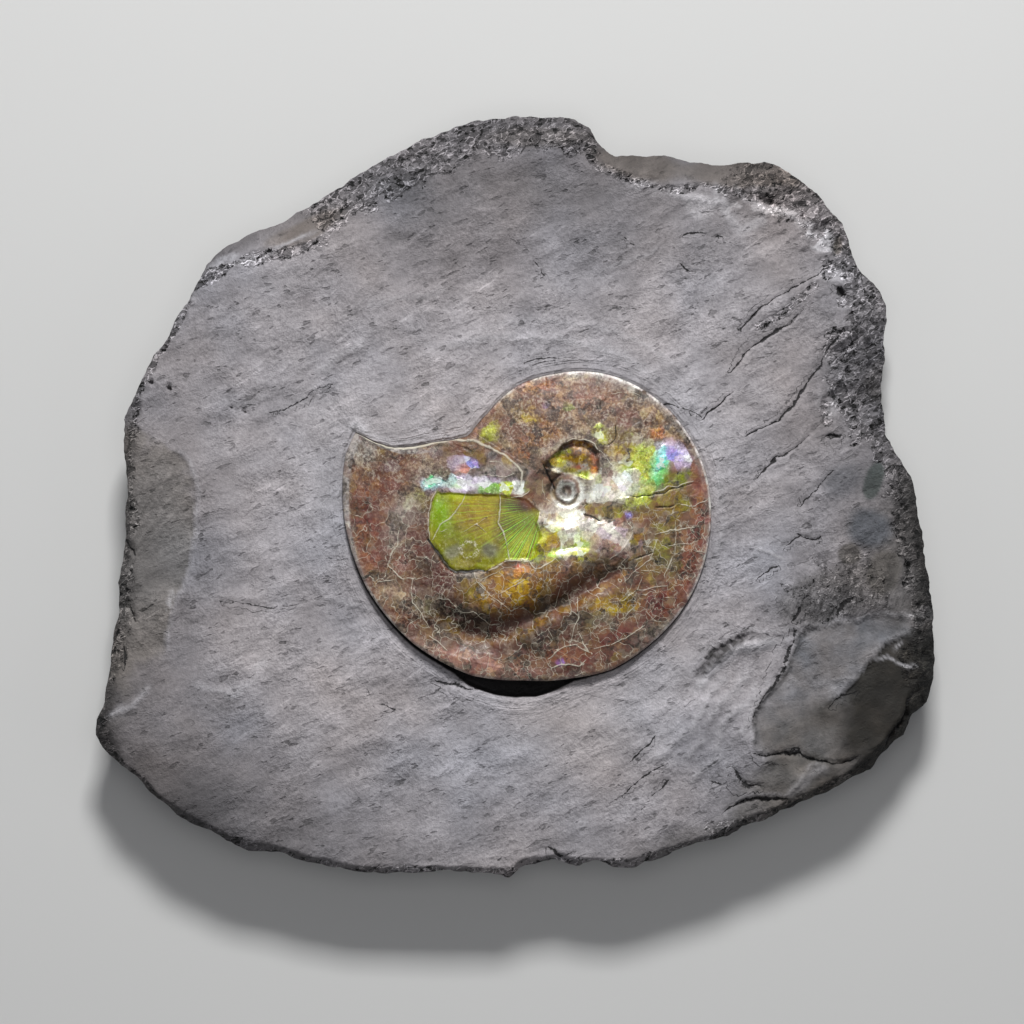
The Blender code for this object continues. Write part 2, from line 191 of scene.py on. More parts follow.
# By degrees anticlockwise from +X, how much of the rim between the outline and the brow is crumbs.
RIM_CRUMBS = [
    (0, 1), (30, 1), (44, 0.9), (54, 0.7), (60, 0), (78, 0), (84, 0.8), (92, 1), (118, 1), (126, 0.5),
    (130, 0), (141, 0), (148, 0.6), (180, 0.3), (200, 0.5), (216, 0.7), (240, 0.4), (285, 0.4), (300, 0.8),
    (315, 1), (360, 1)]

# The shell's outline, which the slab's pocket follows: the coil's outer edge clockwise from the junction of
# its last whorl, degrees anticlockwise from +X and distance from the umbilicus, then back along the aperture.
UMBILICUS = np.array((41.0, 4.5))
WHORL_EDGE = [
    (148.7, 89.3), (135.7, 88.4), (116, 92.6), (96, 94.0), (74, 98.1), (50, 101.9), (28, 106.4), (9, 111.7),
    (-10, 117.2), (-22, 121.6), (-43, 131.2), (-61, 139.2), (-76, 147.2), (-88, 149.6), (-103, 155.2),
    (-117, 165.6), (-135, 172.8), (-154, 177.6), (-174, 179.2), (-189, 179.2), (-195.4, 175.2)]
APERTURE_EDGE = [(-111.5, 42.8), (-97, 38.8), (-81, 39.6), (-67, 42.8), (-51, 44.7), (-39, 47.5)]
SHELL_MIDDLE = np.array((4.0, -50.0))
POCKET_CLEARANCE = 0.4
POCKET_DEPTH = 14.5

# The open crescent below the shell's lower edge: degrees about the umbilicus, width.
CRESCENT = [
    (-165, 0), (-160, 1.0), (-150, 1.6), (-135, 2.6), (-126, 3.0), (-122, 4.2), (-117, 9.0), (-110, 13.2),
    (-105, 14.4), (-99, 13.2), (-94, 8.6), (-88, 3.0), (-82, 1.4), (-60, 1.0), (-42, 0.6), (-34, 0)]


def from_table(table, at, column=1):
    """Reads a value off a table, in a straight line between its rows."""
    rows = np.array(sorted(table), dtype=float)
    return np.interp(at, rows[:, 0], rows[:, column])


def shell_ring(count):
    """The shell's outline as count points: the coil's edge clockwise, then back along the aperture."""
    aperture_count = count // 8
    turns = np.linspace(WHORL_EDGE[0][0], WHORL_EDGE[-1][0], count - aperture_count)
    reach = from_table(WHORL_EDGE, turns)
    direction = np.column_stack([np.cos(np.radians(turns)), np.sin(np.radians(turns))])
    coil = UMBILICUS + direction * reach[:, None]
    back = np.vstack([coil[-1:], APERTURE_EDGE, coil[:1]])
    along = np.concatenate([[0], np.cumsum(np.hypot(*np.diff(back, axis=0).T))])
    stops = np.linspace(0, along[-1], aperture_count + 2)[1:-1]
    return np.vstack([coil, np.column_stack([np.interp(stops, along, back[:, axis]) for axis in (0, 1)])])


def grown(ring, distance):
    """Moves a clockwise ring outwards, by one distance or by one for each point."""
    along = np.roll(ring, -1, axis=0) - np.roll(ring, 1, axis=0)
    outward = np.column_stack([-along[:, 1], along[:, 0]]) / np.hypot(*along.T)[:, None]
    return ring + outward * np.broadcast_to(distance, len(ring))[:, None]


def angle_about(centre, places):
    """Degrees anticlockwise from +X of places seen from a centre."""
    return np.degrees(np.arctan2(places[:, 1] - centre[1], places[:, 0] - centre[0]))


def seen_from(centre, outline, angles):
    """Where rays from a centre meet an outline, for angles in degrees."""
    corners = np.array(outline + outline[:1], dtype=float)
    shares = np.linspace(0, 1, 16, endpoint=False)
    fine = (corners[:-1, None] + (corners[1:] - corners[:-1])[:, None] * shares[None, :, None]).reshape(-1, 2)
    turns = angle_about(centre, fine)
    order = np.argsort(turns)
    return np.column_stack([np.interp(angles, turns[order], fine[order, axis], period=360)
                            for axis in (0, 1)])


def grain_places(places, length, width, turn):
    """Places measured along and across a turned grain, in grain lengths and widths."""
    cosine, sine = np.cos(np.radians(turn)), np.sin(np.radians(turn))
    return np.column_stack([(places[:, 0] * cosine + places[:, 1] * sine) / length,
                            (places[:, 1] * cosine - places[:, 0] * sine) / width])


def drift(places, length, seed, octaves=3, width=None, turn=0.0):
    """Smooth random drift from -1 to 1, with the given length along a turned grain and width across it."""
    return np.array([noise.fractal(Vector((u, v, seed)), 0.9, 2.0, octaves)
                     for u, v in grain_places(places, length, width or length, turn)])


def nearest_site(sites, places):
    """The number of the site that each place is nearest to."""
    tree = kdtree.KDTree(len(sites))
    for index, (u, v) in enumerate(sites):
        tree.insert((u, v, 0), index)
    tree.balance()
    return np.array([tree.find((u, v, 0))[1] for u, v in places])


def facets(grid_places, seed, tilt):
    """Broken facets: each place takes the height of the tilted plane of its nearest site, about -1 to 1.

    The places are given in facet lengths, and there is one site for each facet length both ways.
    """
    rng = np.random.default_rng(seed)
    low, high = grid_places.min(axis=0) - 1, grid_places.max(axis=0) + 1
    count = int(np.prod(high - low))
    sites = rng.uniform(low, high, (count, 2))
    levels, tilts = rng.uniform(-1, 1, count), rng.uniform(-tilt, tilt, (count, 2))
    nearest = nearest_site(sites, grid_places)
    return levels[nearest] + ((grid_places - sites[nearest]) * tilts[nearest]).sum(axis=1)


def beside_line(places, line):
    """Each place's distance from a line, positive on its left, its shift on to it, and its share along it."""
    line = np.array(line, dtype=float)
    lengths = np.hypot(*np.diff(line, axis=0).T)
    starts = np.concatenate([[0], np.cumsum(lengths)])
    side, shift = np.full(len(places), 1e3), np.zeros((len(places), 2))
    share_along = np.zeros(len(places))
    for index, piece in enumerate(np.diff(line, axis=0)):
        offset = places - line[index]
        share = np.clip(offset @ piece / (piece @ piece), 0, 1)
        away = offset - share[:, None] * piece
        distance = np.hypot(*away.T)
        nearer = distance < abs(side)
        left = np.where(piece[0] * offset[:, 1] - piece[1] * offset[:, 0] >= 0, 1, -1)
        side[nearer] = (distance * left)[nearer]
        shift[nearer] = -away[nearer]
        share_along[nearer] = ((starts[index] + share * lengths[index]) / starts[-1])[nearer]
    return side, shift, share_along


def relief(places, lumps):
    """Adds up smooth lumps and hollows, each highest at its centre and gone at its edge."""
    total = np.zeros(len(places))
    for centre, (half_length, half_width), turn, height in lumps:
        u, v = grain_places(places - np.array(centre), half_length, half_width, turn).T
        total += height * np.clip(1 - u ** 2 - v ** 2, 0, 1) ** 0.7
    return total


def smooth(value):
    """Eases from 0 to 1 as a value goes from 0 to 1."""
    value = np.clip(value, 0, 1)
    return value * value * (3 - 2 * value)


def band(value, middle, half_width):
    """1 where a value is at the middle of a band, falling away to 0 on both sides of it."""
    return np.exp(-((value - middle) / half_width) ** 2)


def inside(places, centre, half_sizes, turn, softness=0.3, wander=0):
    """1 inside a turned oval and 0 outside, easing over its edge."""
    u, v = grain_places(places - np.array(centre), *half_sizes, turn).T
    return 1 - smooth((np.hypot(u, v) + wander - 1 + softness) / (2 * softness))


# The slab starts as a washer: a face from radius 1 to 2 with a wall below each edge, closed underneath. Its
# points then take their places between the pocket's edge and the outline.
SLAB_TURNS, SLAB_RINGS, WALL_RINGS, POCKET_RINGS = 960, 81, 14, 3
washer = bmesh.new()
for radius in (1, 2):
    bmesh.ops.create_circle(washer, segments=SLAB_TURNS, radius=radius)
bmesh.ops.bridge_loops(washer, edges=washer.edges[:])
spokes = [edge for edge in washer.edges if abs(edge.verts[0].co.length - edge.verts[1].co.length) > 0.5]
bmesh.ops.subdivide_edges(washer, edges=spokes, cuts=SLAB_RINGS - 1, use_grid_fill=True)
for radius, rings in ((2, WALL_RINGS), (1, POCKET_RINGS)):
    edge_loop = [edge for edge in washer.edges if edge.is_boundary
                 and abs(edge.verts[0].co.length - radius) < 1e-3 and edge.verts[0].co.z > -0.5]
    wall = bmesh.ops.extrude_edge_only(washer, edges=edge_loop)["geom"]
    foot = [item for item in wall if isinstance(item, bmesh.types.BMVert)]
    bmesh.ops.translate(washer, verts=foot, vec=(0, 0, -1))
    uprights = [edge for vert in foot for edge in vert.link_edges
                if abs(edge.verts[0].co.z - edge.verts[1].co.z) > 0.5]
    bmesh.ops.subdivide_edges(washer, edges=uprights, cuts=rings - 1, use_grid_fill=True)
bmesh.ops.edgeloop_fill(washer, edges=[edge for edge in washer.edges if edge.is_boundary])
bmesh.ops.recalc_face_normals(washer, faces=washer.faces[:])
slab_mesh = bpy.data.meshes.new("slab")
washer.to_mesh(slab_mesh)
washer.free()

washer_co = np.empty(len(slab_mesh.vertices) * 3)
slab_mesh.vertices.foreach_get("co", washer_co)
washer_co = washer_co.reshape(-1, 3)
column = np.round((90 - np.degrees(np.arctan2(washer_co[:, 1], washer_co[:, 0]))) % 360 / 360 * SLAB_TURNS)
column = column.astype(int) % SLAB_TURNS
# The rings stand closer together towards the rim, where the rock is more broken.
share = 1 - (1 - np.clip(np.hypot(washer_co[:, 0], washer_co[:, 1]) - 1, 0, 1)) ** 1.2
fall = -washer_co[:, 2]
on_top, on_wall, in_pocket = fall < 1e-4, (fall > 1e-4) & (share > 0.5), (fall > 1e-4) & (share < 0.5)

edge_ring = shell_ring(SLAB_TURNS)
crescent = from_table(CRESCENT, angle_about(UMBILICUS, edge_ring))
pocket_ring = grown(edge_ring, POCKET_CLEARANCE + crescent)
outline_ring = seen_from(SHELL_MIDDLE, SLAB_OUTLINE, angle_about(SHELL_MIDDLE, pocket_ring))
slab_places = pocket_ring[column] * (1 - share)[:, None] + outline_ring[column] * share[:, None]

# The broken edge is ragged: it wanders in and out by a millimetre or so.
outward = slab_places / np.maximum(np.hypot(*slab_places.T), 1)[:, None]
ragged = drift(slab_places, 22, 3.1, 4) * 1.8 + drift(slab_places, 6, 3.7, 2) * 0.9 - 1.6
slab_places += outward * (ragged * smooth((share - 0.8) * 5))[:, None]

# Cracks and ledges draw the points near them on to their line, so that their edges are crisp.
wobble = np.column_stack([drift(slab_places, 14, seed, 3) for seed in (11.3, 17.9)]) * 2.2
crack_wobble = wobble + np.column_stack([drift(slab_places, 5, seed, 2) for seed in (12.3, 18.9)]) * 0.9


def drawn_to(line, wander):
    """Draws the slab's points by a line on to it, and gives how far from it and along it all of them lie."""
    side, shift, along = beside_line(slab_places + wander, line)
    snapped = on_top & (abs(side) < 1.0) & (share < 0.97)
    slab_places[snapped] += shift[snapped]
    side[snapped] = 0
    return side, along


crack_side, crack_groove = np.full(len(slab_places), 9.0), np.zeros(len(slab_places))
for width, depth, line in SLAB_CRACKS:
    side, along = drawn_to(line, crack_wobble)
    taper = 0.3 + 0.7 * np.sin(np.pi * along) ** 0.5
    groove = depth * taper * np.clip(1 - abs(side) / (0.5 * width + 0.9), 0, 1)
    crack_groove = np.maximum(crack_groove, groove)
    nearer = abs(side) / (0.5 * width * taper) < abs(crack_side)
    crack_side[nearer] = (side / (0.5 * width * taper))[nearer]

ledge_height, ledge_edge_highlight = np.zeros(len(slab_places)), np.zeros(len(slab_places))
for drop, reach, step_width, line in SLAB_LEDGES:
    side, along = drawn_to(line, wobble)
    ends = smooth(np.sin(np.pi * np.clip(along, 0.001, 0.999)) * 4)
    low_side = -side * np.sign(drop)
    fallen = 1 - (1 - np.clip(low_side / step_width, 0, 1)) ** 1.5
    kept = 1 - (SCAR_FADING * smooth((along - 0.45) / 0.35) if line is SCAR else 0)
    stays_low = np.exp(-np.clip(low_side - step_width, 0, None) / reach)
    ledge_height -= abs(drop) * kept * fallen * stays_low * ends
    ledge_edge_highlight = np.maximum(ledge_edge_highlight, ends * band(low_side, -1.2, 1.6))
ridge_height, crest_highlight = np.zeros(len(slab_places)), np.zeros(len(slab_places))
for half_width, height, paleness, line in SLAB_RIDGES:
    side, shift, along = beside_line(slab_places + wobble, line)
    crest = smooth(np.sin(np.pi * np.clip(along, 0.001, 0.999)) * 2) * band(side, 0, half_width)
    ridge_height = np.maximum(ridge_height, height * crest)
    crest_highlight = np.maximum(crest_highlight, paleness * crest)

# Rim: 0 on the outline and 1 on the brow.
turn = angle_about((0, 0), slab_places)
outline_reach = np.hypot(*seen_from((0, 0), SLAB_OUTLINE, turn).T)
brow_reach = np.hypot(*seen_from((0, 0), SLAB_BROW, turn).T)
brow_wander = 1 + 0.28 * drift(slab_places, 16, 5.5, 3)
slope = (outline_reach - np.hypot(*slab_places.T)) / ((outline_reach - brow_reach) * brow_wander + 1)
slope = np.clip(slope, 0, 1.5)
rim_drop = from_table(SLAB_RIM, turn % 360)
broken = np.zeros(len(slab_places))
crumb_wander = drift(slab_places, 15, 7.7, 4)
for half_width, line in SLAB_CRUMBS:
    side = beside_line(slab_places, line)[0]
    broken = np.maximum(broken, 1 - smooth((abs(side) / half_width + 1.1 * crumb_wander - 0.65) / 0.7))

near_brow = smooth((0.95 + 0.3 * crumb_wander - slope) * 5) * (share > 0.5)
rim_crumbs = from_table(RIM_CRUMBS, turn % 360) * near_brow
hackle_crumbs = 0.5 * inside(slab_places, (262, -74), (46, 26), 12, 0.3, 0.8 * crumb_wander)
shard_crumbs = 0.55 * inside(slab_places, (226, 226), (52, 15), -24, 0.3, 0.9 * crumb_wander)
broken = np.maximum.reduce([broken, rim_crumbs, hackle_crumbs, shard_crumbs])

# The upper face: gentle waves, long low flakes in the grain of the chisel work, and the features above.
GRAIN_TURN = 28
flakes = facets(grain_places(slab_places + wobble, 26, 8, GRAIN_TURN), 7, 0.5)
small_flakes = facets(grain_places(slab_places + wobble, 12, 5, GRAIN_TURN - 8), 8, 0.5)
chips = facets(grain_places(slab_places + wobble, 9, 7, 60), 9, 1.2)
flake_amount = 0.5 + 0.5 * drift(slab_places, 110, 2.2, 2)
top_height = SLAB_TOP + relief(slab_places, SLAB_RELIEF) + ledge_height + ridge_height - crack_groove
top_height += 1.6 * drift(slab_places, 160, 1.1, 2) + 1.2 * drift(slab_places, 46, 4.4, 4, 26, GRAIN_TURN)
top_height += (0.30 * flakes + 0.16 * small_flakes) * (0.15 + flake_amount)
fractured = inside(slab_places, (222, 222), (56, 20), -28, 0.4, 0.5 * crumb_wander)
top_height += fractured * (1.1 * chips + 0.7 * flakes)
top_height -= rim_drop * (1 - np.clip(slope, 0, 1)) ** 1.15
top_height += broken * (1.0 * chips + 0.9 * drift(slab_places, 9, 6.6, 3) - 0.5)
# The hackly patch is ribbed, and its ribs curve about a point to the left of it.
rib_reach = np.hypot(*(slab_places + 1.6 * wobble - (120, -30)).T)
rib_mask = inside(slab_places, (262, -72), (50, 28), 12, 0.3, 0.25 * drift(slab_places, 20, 9.9, 3))
rib_wave = drift(np.column_stack([rib_reach * 3.0, turn * 1.6]), 18, 12.4, 3)
top_height += rib_mask * (1.3 * np.clip(rib_wave * 1.6, -1, 1) - 0.4)
# Round the fossil the shale is cut smooth, and close to the shell it meets the edge level.
by_shell = np.exp(-np.hypot(*(slab_places - pocket_ring[column]).T) / 10)
top_height = top_height * (1 - by_shell) + (SLAB_TOP + 0.3 * drift(slab_places, 20, 8.8, 3)) * by_shell

# The side wall steps in along the bedding, with facets that are long and low.
WALL_STEPS = [(0, 0), (0.22, 1.0), (0.30, 6.0), (0.58, 7.0), (0.66, 13.0), (1.0, 15.0)]
outline_length = np.concatenate([[0], np.cumsum(np.hypot(*np.diff(outline_ring, axis=0).T))])[column]
rim_height = np.zeros(SLAB_TURNS)
at_rim = on_top & (share > 0.9999)
rim_height[column[at_rim]] = top_height[at_rim]
wall_height = rim_height[column] * (1 - fall)
wall_places = np.column_stack([outline_length, wall_height])
beds = facets(wall_places / (46, 5.5), 21, 0.4)
blocks = facets(wall_places / (15, 8), 22, 0.9)
wall_step = 0.6 + 0.4 * np.sin(np.radians(turn) * 9)
inset = from_table(WALL_STEPS, fall) * np.where(fall > 0.99, 1, wall_step)
inset += smooth(fall * 8) * (2.0 + 1.3 * beds + 1.1 * blocks) * np.where(fall > 0.99, 0.4, 1)
slab_places[on_wall] -= (outward * np.clip(inset, 0, None)[:, None])[on_wall]

# The pocket's wall leans in under the shell.
pocket_lean = fall[in_pocket, None] * 0.03
slab_places[in_pocket] += (SHELL_MIDDLE - slab_places[in_pocket]) * pocket_lean
pocket_height = SLAB_TOP - POCKET_DEPTH * fall

heights = np.select([on_top, on_wall], [top_height, wall_height], pocket_height)
slab_points = np.column_stack([slab_places, heights]) * MM
slab_mesh.vertices.foreach_set("co", slab_points.astype(np.float32).ravel())


def linear(red, green, blue):
    """A colour as it looks on a screen, 0 to 255, as the light it stands for."""
    return np.array([(value / 255) ** 2.2 for value in (red, green, blue)])


def give(mesh, name, values):
    """Stores a number, a vector or a colour for each of a mesh's points."""
    kind, key = {1: ("FLOAT", "value"), 3: ("FLOAT_VECTOR", "vector"),
                 4: ("FLOAT_COLOR", "color")}[values.shape[1] if values.ndim == 2 else 1]
    mesh.attributes.new(name, kind, "POINT").data.foreach_set(key, values.astype(np.float32).ravel())


def in_scene(name, data):
    """A new object in the scene, for a mesh, a lamp or a camera."""
    added = bpy.data.objects.new(name, data)
    bpy.context.scene.collection.objects.link(added)
    return added


def paint_over(colours, coat, strength):
    """Lays a colour over others."""
    colours += (coat - colours) * strength[:, None]


def right_of(line):
    """1 on the right of a line and 0 on its left, for the slab's points."""
    return np.clip(0.5 - beside_line(slab_places + wobble, line)[0] / 2.4, 0, 1)


# The shale is lightest round the fossil, where it is freshly cut, and darker towards the rim: partly dustier
# rock, and partly a painted fall-off of the light. By degrees anticlockwise from +X, how much of that
# darkening there is.
DUST_AND_FALLOFF_DARKENING = 0.58
SLAB_DIMNESS = [
    (0, 1.0), (10, 0.75), (20, 0.55), (30, 0.55), (38, 0.5), (45, 0.55), (60, 0.65), (75, 0.95), (90, 1.0),
    (105, 1.0), (120, 0.6), (137, 0.35), (155, 0.5), (180, 0.7), (205, 1.1), (225, 1.5), (240, 1.1),
    (255, 0.6), (270, 0.45), (290, 0.45), (305, 0.8), (320, 1.3), (340, 1.2), (360, 1.0)]

# How much darker the broken rim is painted than the upper face, by the same degrees: partly its darker broken
# rock, and partly painted shade.
RIM_SHADE = [
    (0, 0.5), (45, 0.3), (60, 0.5), (84, 0.5), (100, 0.3), (130, 0.35), (150, 0.35), (180, 0.3), (210, 0.2),
    (300, 0.3), (330, 0.45), (360, 0.5)]

# The shale's colours, and the factor that brings them up to their lightness under these lamps.
SHALE_LIGHTNESS = 1.14
FACES = {
    "fan": linear(105, 101, 98), "plate": linear(103, 101, 102), "dusk": linear(80, 77, 74),
    "night": linear(41, 39, 36), "hackle": linear(100, 97, 97), "stain": linear(80, 82, 87),
    "skin": linear(104, 98, 95), "pale": linear(186, 184, 188), "haze": linear(160, 157, 160),
    "shade": linear(112, 108, 110), "rim": linear(62, 60, 59),
    "slate": linear(66, 70, 69), "shaded_scar": linear(48, 46, 45), "furrow_shade": linear(30, 29, 29),
    "wall": linear(96, 94, 96), "pocket": linear(16, 15, 15)}

# Where the shale is another colour: the colour, centre, half lengths, turn, strength, softness, and for some
# the line whose right-hand side they keep to.
SLAB_PATCHES = [
    ("rim", (330, -70), (34, 104), 3, 1.0, 0.4), ("rim", (312, -200), (44, 40), 30, 0.95, 0.5),
    ("shade", (300, 70), (26, 60), 0, 0.5, 0.5), ("shade", (20, 290), (200, 30), -2, 0.7, 0.6),
    ("shade", (215, 225), (56, 20), -25, 0.6, 0.5), ("shade", (-110, 268), (60, 14), 30, 0.9, 0.5),
    ("shade", (250, 240), (44, 20), -40, 0.8, 0.5), ("shade", (-240, 200), (44, 14), 25, 0.8, 0.5),
    ("rim", (-336, -160), (20, 60), 0, 0.7, 0.5), ("fan", (-306, -46), (64, 96), 0, 0.85, 0.15, FAN_EDGE),
    ("plate", (276, -165), (96, 84), 40, 0.85, 0.1, STEP_PLATES),
    ("dusk", (240, -190), (46, 22), 10, 0.7, 0.5, STEP_PLATES),
    ("dusk", (226, -230), (52, 26), 20, 0.85, 0.3), ("dusk", (150, -276), (60, 14), 15, 0.5, 0.5),
    ("night", (310, -160), (60, 66), 0, 1.0, 0.4, LOW_PLATE),
    ("night", (292, -214), (34, 12), 35, 0.8, 0.3), ("hackle", (258, -78), (48, 24), 15, 0.9, 0.3),
    ("hackle", (304, -50), (18, 60), 0, 0.6, 0.4), ("stain", (283, -25), (18, 15), 0, 1, 0.35),
    ("slate", (287, 13), (8, 17), -18, 1, 0.12), ("dusk", (295, -62), (13, 18), -10, 0.8, 0.2),
    ("dusk", (267, -46), (10, 9), 0, 0.8, 0.15), ("stain", (262, 14), (16, 12), 20, 0.5, 0.5),
    ("skin", (178, 259), (52, 12), -2, 0.9, 0.2), ("skin", (100, 266), (38, 12), -12, 0.95, 0.3),
    ("skin", (20, 288), (36, 8), 0, 0.6, 0.4), ("skin", (-166, 214), (30, 8), 30, 0.85, 0.3),
    ("skin", (-186, 208), (20, 6), 25, 0.7, 0.3), ("skin", (259, 201), (4, 8), -10, 1.0, 0.2),
    ("skin", (296, 92), (12, 16), 0, 0.5, 0.4), ("pale", (-234, 189), (12, 4), 20, 0.6, 0.3),
    ("pale", (240, 212), (17, 6), -25, 1, 0.3), ("pale", (246, 202), (11, 6), -15, 0.8, 0.3),
    ("pale", (202, 230), (26, 4), -8, 0.8, 0.3), ("pale", (164, 238), (5, 14), 20, 0.8, 0.3),
    ("haze", (148, 231), (12, 10), -40, 0.7, 0.3), ("haze", (253, 177), (11, 6), -10, 0.7, 0.4),
    ("dusk", (257, 201), (2.4, 7), -8, 1, 0.3), ("pale", (110, 246), (24, 5), -15, 0.25, 0.6),
    ("pale", (264, 154), (7, 5), 20, 0.6, 0.4), ("pale", (250, 76), (8, 12), 0, 0.35, 0.5),
    ("pale", (190, -121), (26, 3.4), 14, 0.55, 0.6), ("pale", (223, -203), (9, 2.2), -8, 0.5, 0.4),
    ("pale", (-226, -160), (7, 2.4), 20, 0.5, 0.5), ("pale", (-207, -137), (9, 3), 35, 0.5, 0.5),
    ("pale", (-126, 53), (7, 5), -30, 0.4, 0.5), ("pale", (-320, -175), (12, 3), 25, 0.45, 0.5),
    ("pale", (-277, -84), (2, 8), -10, 0.5, 0.5), ("haze", (120, -150), (40, 16), 40, 0.4, 0.7),
    ("haze", (-140, 20), (30, 60), 10, 0.35, 0.7), ("haze", (120, 60), (40, 30), 0, 0.4, 0.7),
    ("haze", (60, -190), (70, 26), 0, 0.35, 0.7), ("shade", (-150, -70), (34, 20), 25, 0.35, 0.7),
    ("shade", (168, -24), (24, 30), 0, 0.35, 0.7), ("shade", (-30, 190), (60, 22), 10, 0.35, 0.7),
    ("shade", (10, 150), (30, 16), -10, 0.3, 0.7), ("shade", (-165, 158), (12, 6), 25, 0.5, 0.4),
    ("shade", (150, -190), (14, 34), -35, 0.4, 0.6), ("shade", (60, 90), (24, 14), 0, 0.4, 0.6),
    ("shade", (222, 70), (14, 40), -30, 0.35, 0.7)]
out_share = np.hypot(*slab_places.T) / outline_reach + 0.1 * np.sin(np.radians(turn))
dim = from_table(SLAB_DIMNESS, turn % 360) * smooth((out_share - 0.5) * 2)
slab_tint = linear(150, 146, 149) * SHALE_LIGHTNESS * (1 - DUST_AND_FALLOFF_DARKENING * np.clip(dim, 0, 1.6))[:, None]
rim_shade = from_table(RIM_SHADE, turn % 360) * np.clip(1.15 - slope, 0, 1) ** 0.5 * (share > 0.5)
edge_wander = 0.22 * drift(slab_places, 30, 9.2, 4)
for name, centre, half_sizes, patch_turn, strength, softness, *edges in SLAB_PATCHES:
    patch = strength * inside(slab_places, centre, half_sizes, patch_turn, softness, edge_wander)
    patch *= np.clip(0.6 + 0.6 * chips, 0, 1) if name == "pale" else 1
    for line in edges:
        patch *= right_of(line)
    paint_over(slab_tint, FACES[name] * SHALE_LIGHTNESS, patch)
slab_tint *= 1 - rim_shade[:, None]
# Broad soft blotches, and low flakes that are each a little lighter or darker than the next.
blotches = 0.24 * drift(slab_places, 52, 61.1, 4, 34, GRAIN_TURN) + 0.10 * drift(slab_places, 17, 62.1, 3)
slab_tint *= np.clip(1 + blotches + 0.05 * flakes + 0.05 * small_flakes, 0.3, 2)[:, None]
plates = inside(slab_places, (276, -160), (96, 80), 40, 0.2) * right_of(STEP_PLATES)
slab_tint *= (1 + plates * (0.34 * drift(slab_places, 13, 66.1, 4) + 0.10 * flakes))[:, None]
warmth = 0.05 * drift(slab_places, 90, 63.1, 3) + 0.06 * plates * drift(slab_places, 24, 67.1, 3)
slab_tint *= np.column_stack([1 + warmth, np.ones(len(warmth)), 1 - warmth])

# Painted shade in the scar below its ledge and along the step of the plates, and the pale lip of shale that
# the chisel left along the aperture.
side, shift, along = beside_line(slab_places + 0.6 * wobble, SCAR)
scar_width = 6 + 4 * band(along, 0.25, 0.25) + 2.4 * drift(slab_places, 8, 68.1, 3)
shaded_scar = smooth(-side / 1.2) * (1 - smooth((-side - scar_width) / 3)) * smooth(along * 9)
shaded_scar *= 1 - 0.7 * smooth((along - 0.5) / 0.2)
side, shift, along = beside_line(slab_places + 0.6 * wobble, STEP_PLATES)
shaded_scar = np.maximum(shaded_scar, 0.7 * smooth(1.5 - abs(side + 1.4) / 1.8) * smooth(np.sin(np.pi * along) * 4))
APERTURE_LIP = [(-130, 54), (-111.5, 44), (-97, 40), (-81, 41), (-67, 44), (-51, 46), (-38, 50)]
lip_side = beside_line(slab_places, APERTURE_LIP)[0]
paint_over(slab_tint, FACES["haze"] * 1.3, 0.6 * smooth(1.5 - abs(lip_side) / 5))
# Painted highlights: pale crests of ridges and pale top edges of ledges, where they catch the light.
paint_over(slab_tint, FACES["pale"], np.maximum(0.25 * ledge_edge_highlight, crest_highlight))
scar_patchy = np.clip(0.85 + 0.9 * drift(slab_places, 5, 65.1, 3), 0.2, 1)
paint_over(slab_tint, FACES["shaded_scar"], 0.9 * shaded_scar * scar_patchy)
# Painted shade in the furrows between the hackly ribs.
paint_over(slab_tint, FACES["furrow_shade"], 0.45 * rib_mask * smooth(-rib_wave * 4 - 0.5))
paint_over(slab_tint, FACES["wall"], 0.8 * on_wall)
# Painted shade: the pocket under the shell is painted near black.
paint_over(slab_tint, FACES["pocket"], 0.95 * in_pocket)

# How rough the shale is: the broken plates and the skins are the smoothest.
calm = np.clip(0.75 + 0.6 * drift(slab_places, 40, 64.1, 3), 0.25, 1.2)
for centre, half_sizes, patch_turn in [((276, -160), (90, 76), 40), ((182, 258), (54, 9), -4),
                                       ((100, 267), (36, 8), -10), ((-166, 214), (30, 8), 30)]:
    calm *= 1 - 0.4 * inside(slab_places, centre, half_sizes, patch_turn, 0.2, edge_wander)
hackles = np.maximum(inside(slab_places, (258, -78), (48, 24), 15, 0.3, edge_wander),
                     0.6 * inside(slab_places, (306, -50), (16, 60), 0, 0.4, edge_wander))
fan = inside(slab_places, (-306, -46), (64, 96), 0, 0.2) * right_of(FAN_EDGE)

# The wall is laid out flat beyond the rim, so that one flat pattern runs over both.
WALL_LENGTH = 50
laid_out = slab_places + outward * (np.where(on_wall, fall, 0) * WALL_LENGTH)[:, None]
for name, values in {
        "tint": np.column_stack([slab_tint, np.ones(len(slab_tint))]),
        "laid_out": np.column_stack([laid_out, np.zeros(len(laid_out))]) * MM,
        "broken": np.where(on_wall, 0.9, broken),
        "crack_side": np.where(on_top, np.clip(crack_side, -9, 9), 9),
        "from_shell": np.hypot(*(slab_places - pocket_ring[column]).T), "calm": calm, "hackles": hackles,
        "fan": fan, "shaded_scar": shaded_scar}.items():
    give(slab_mesh, name, values)


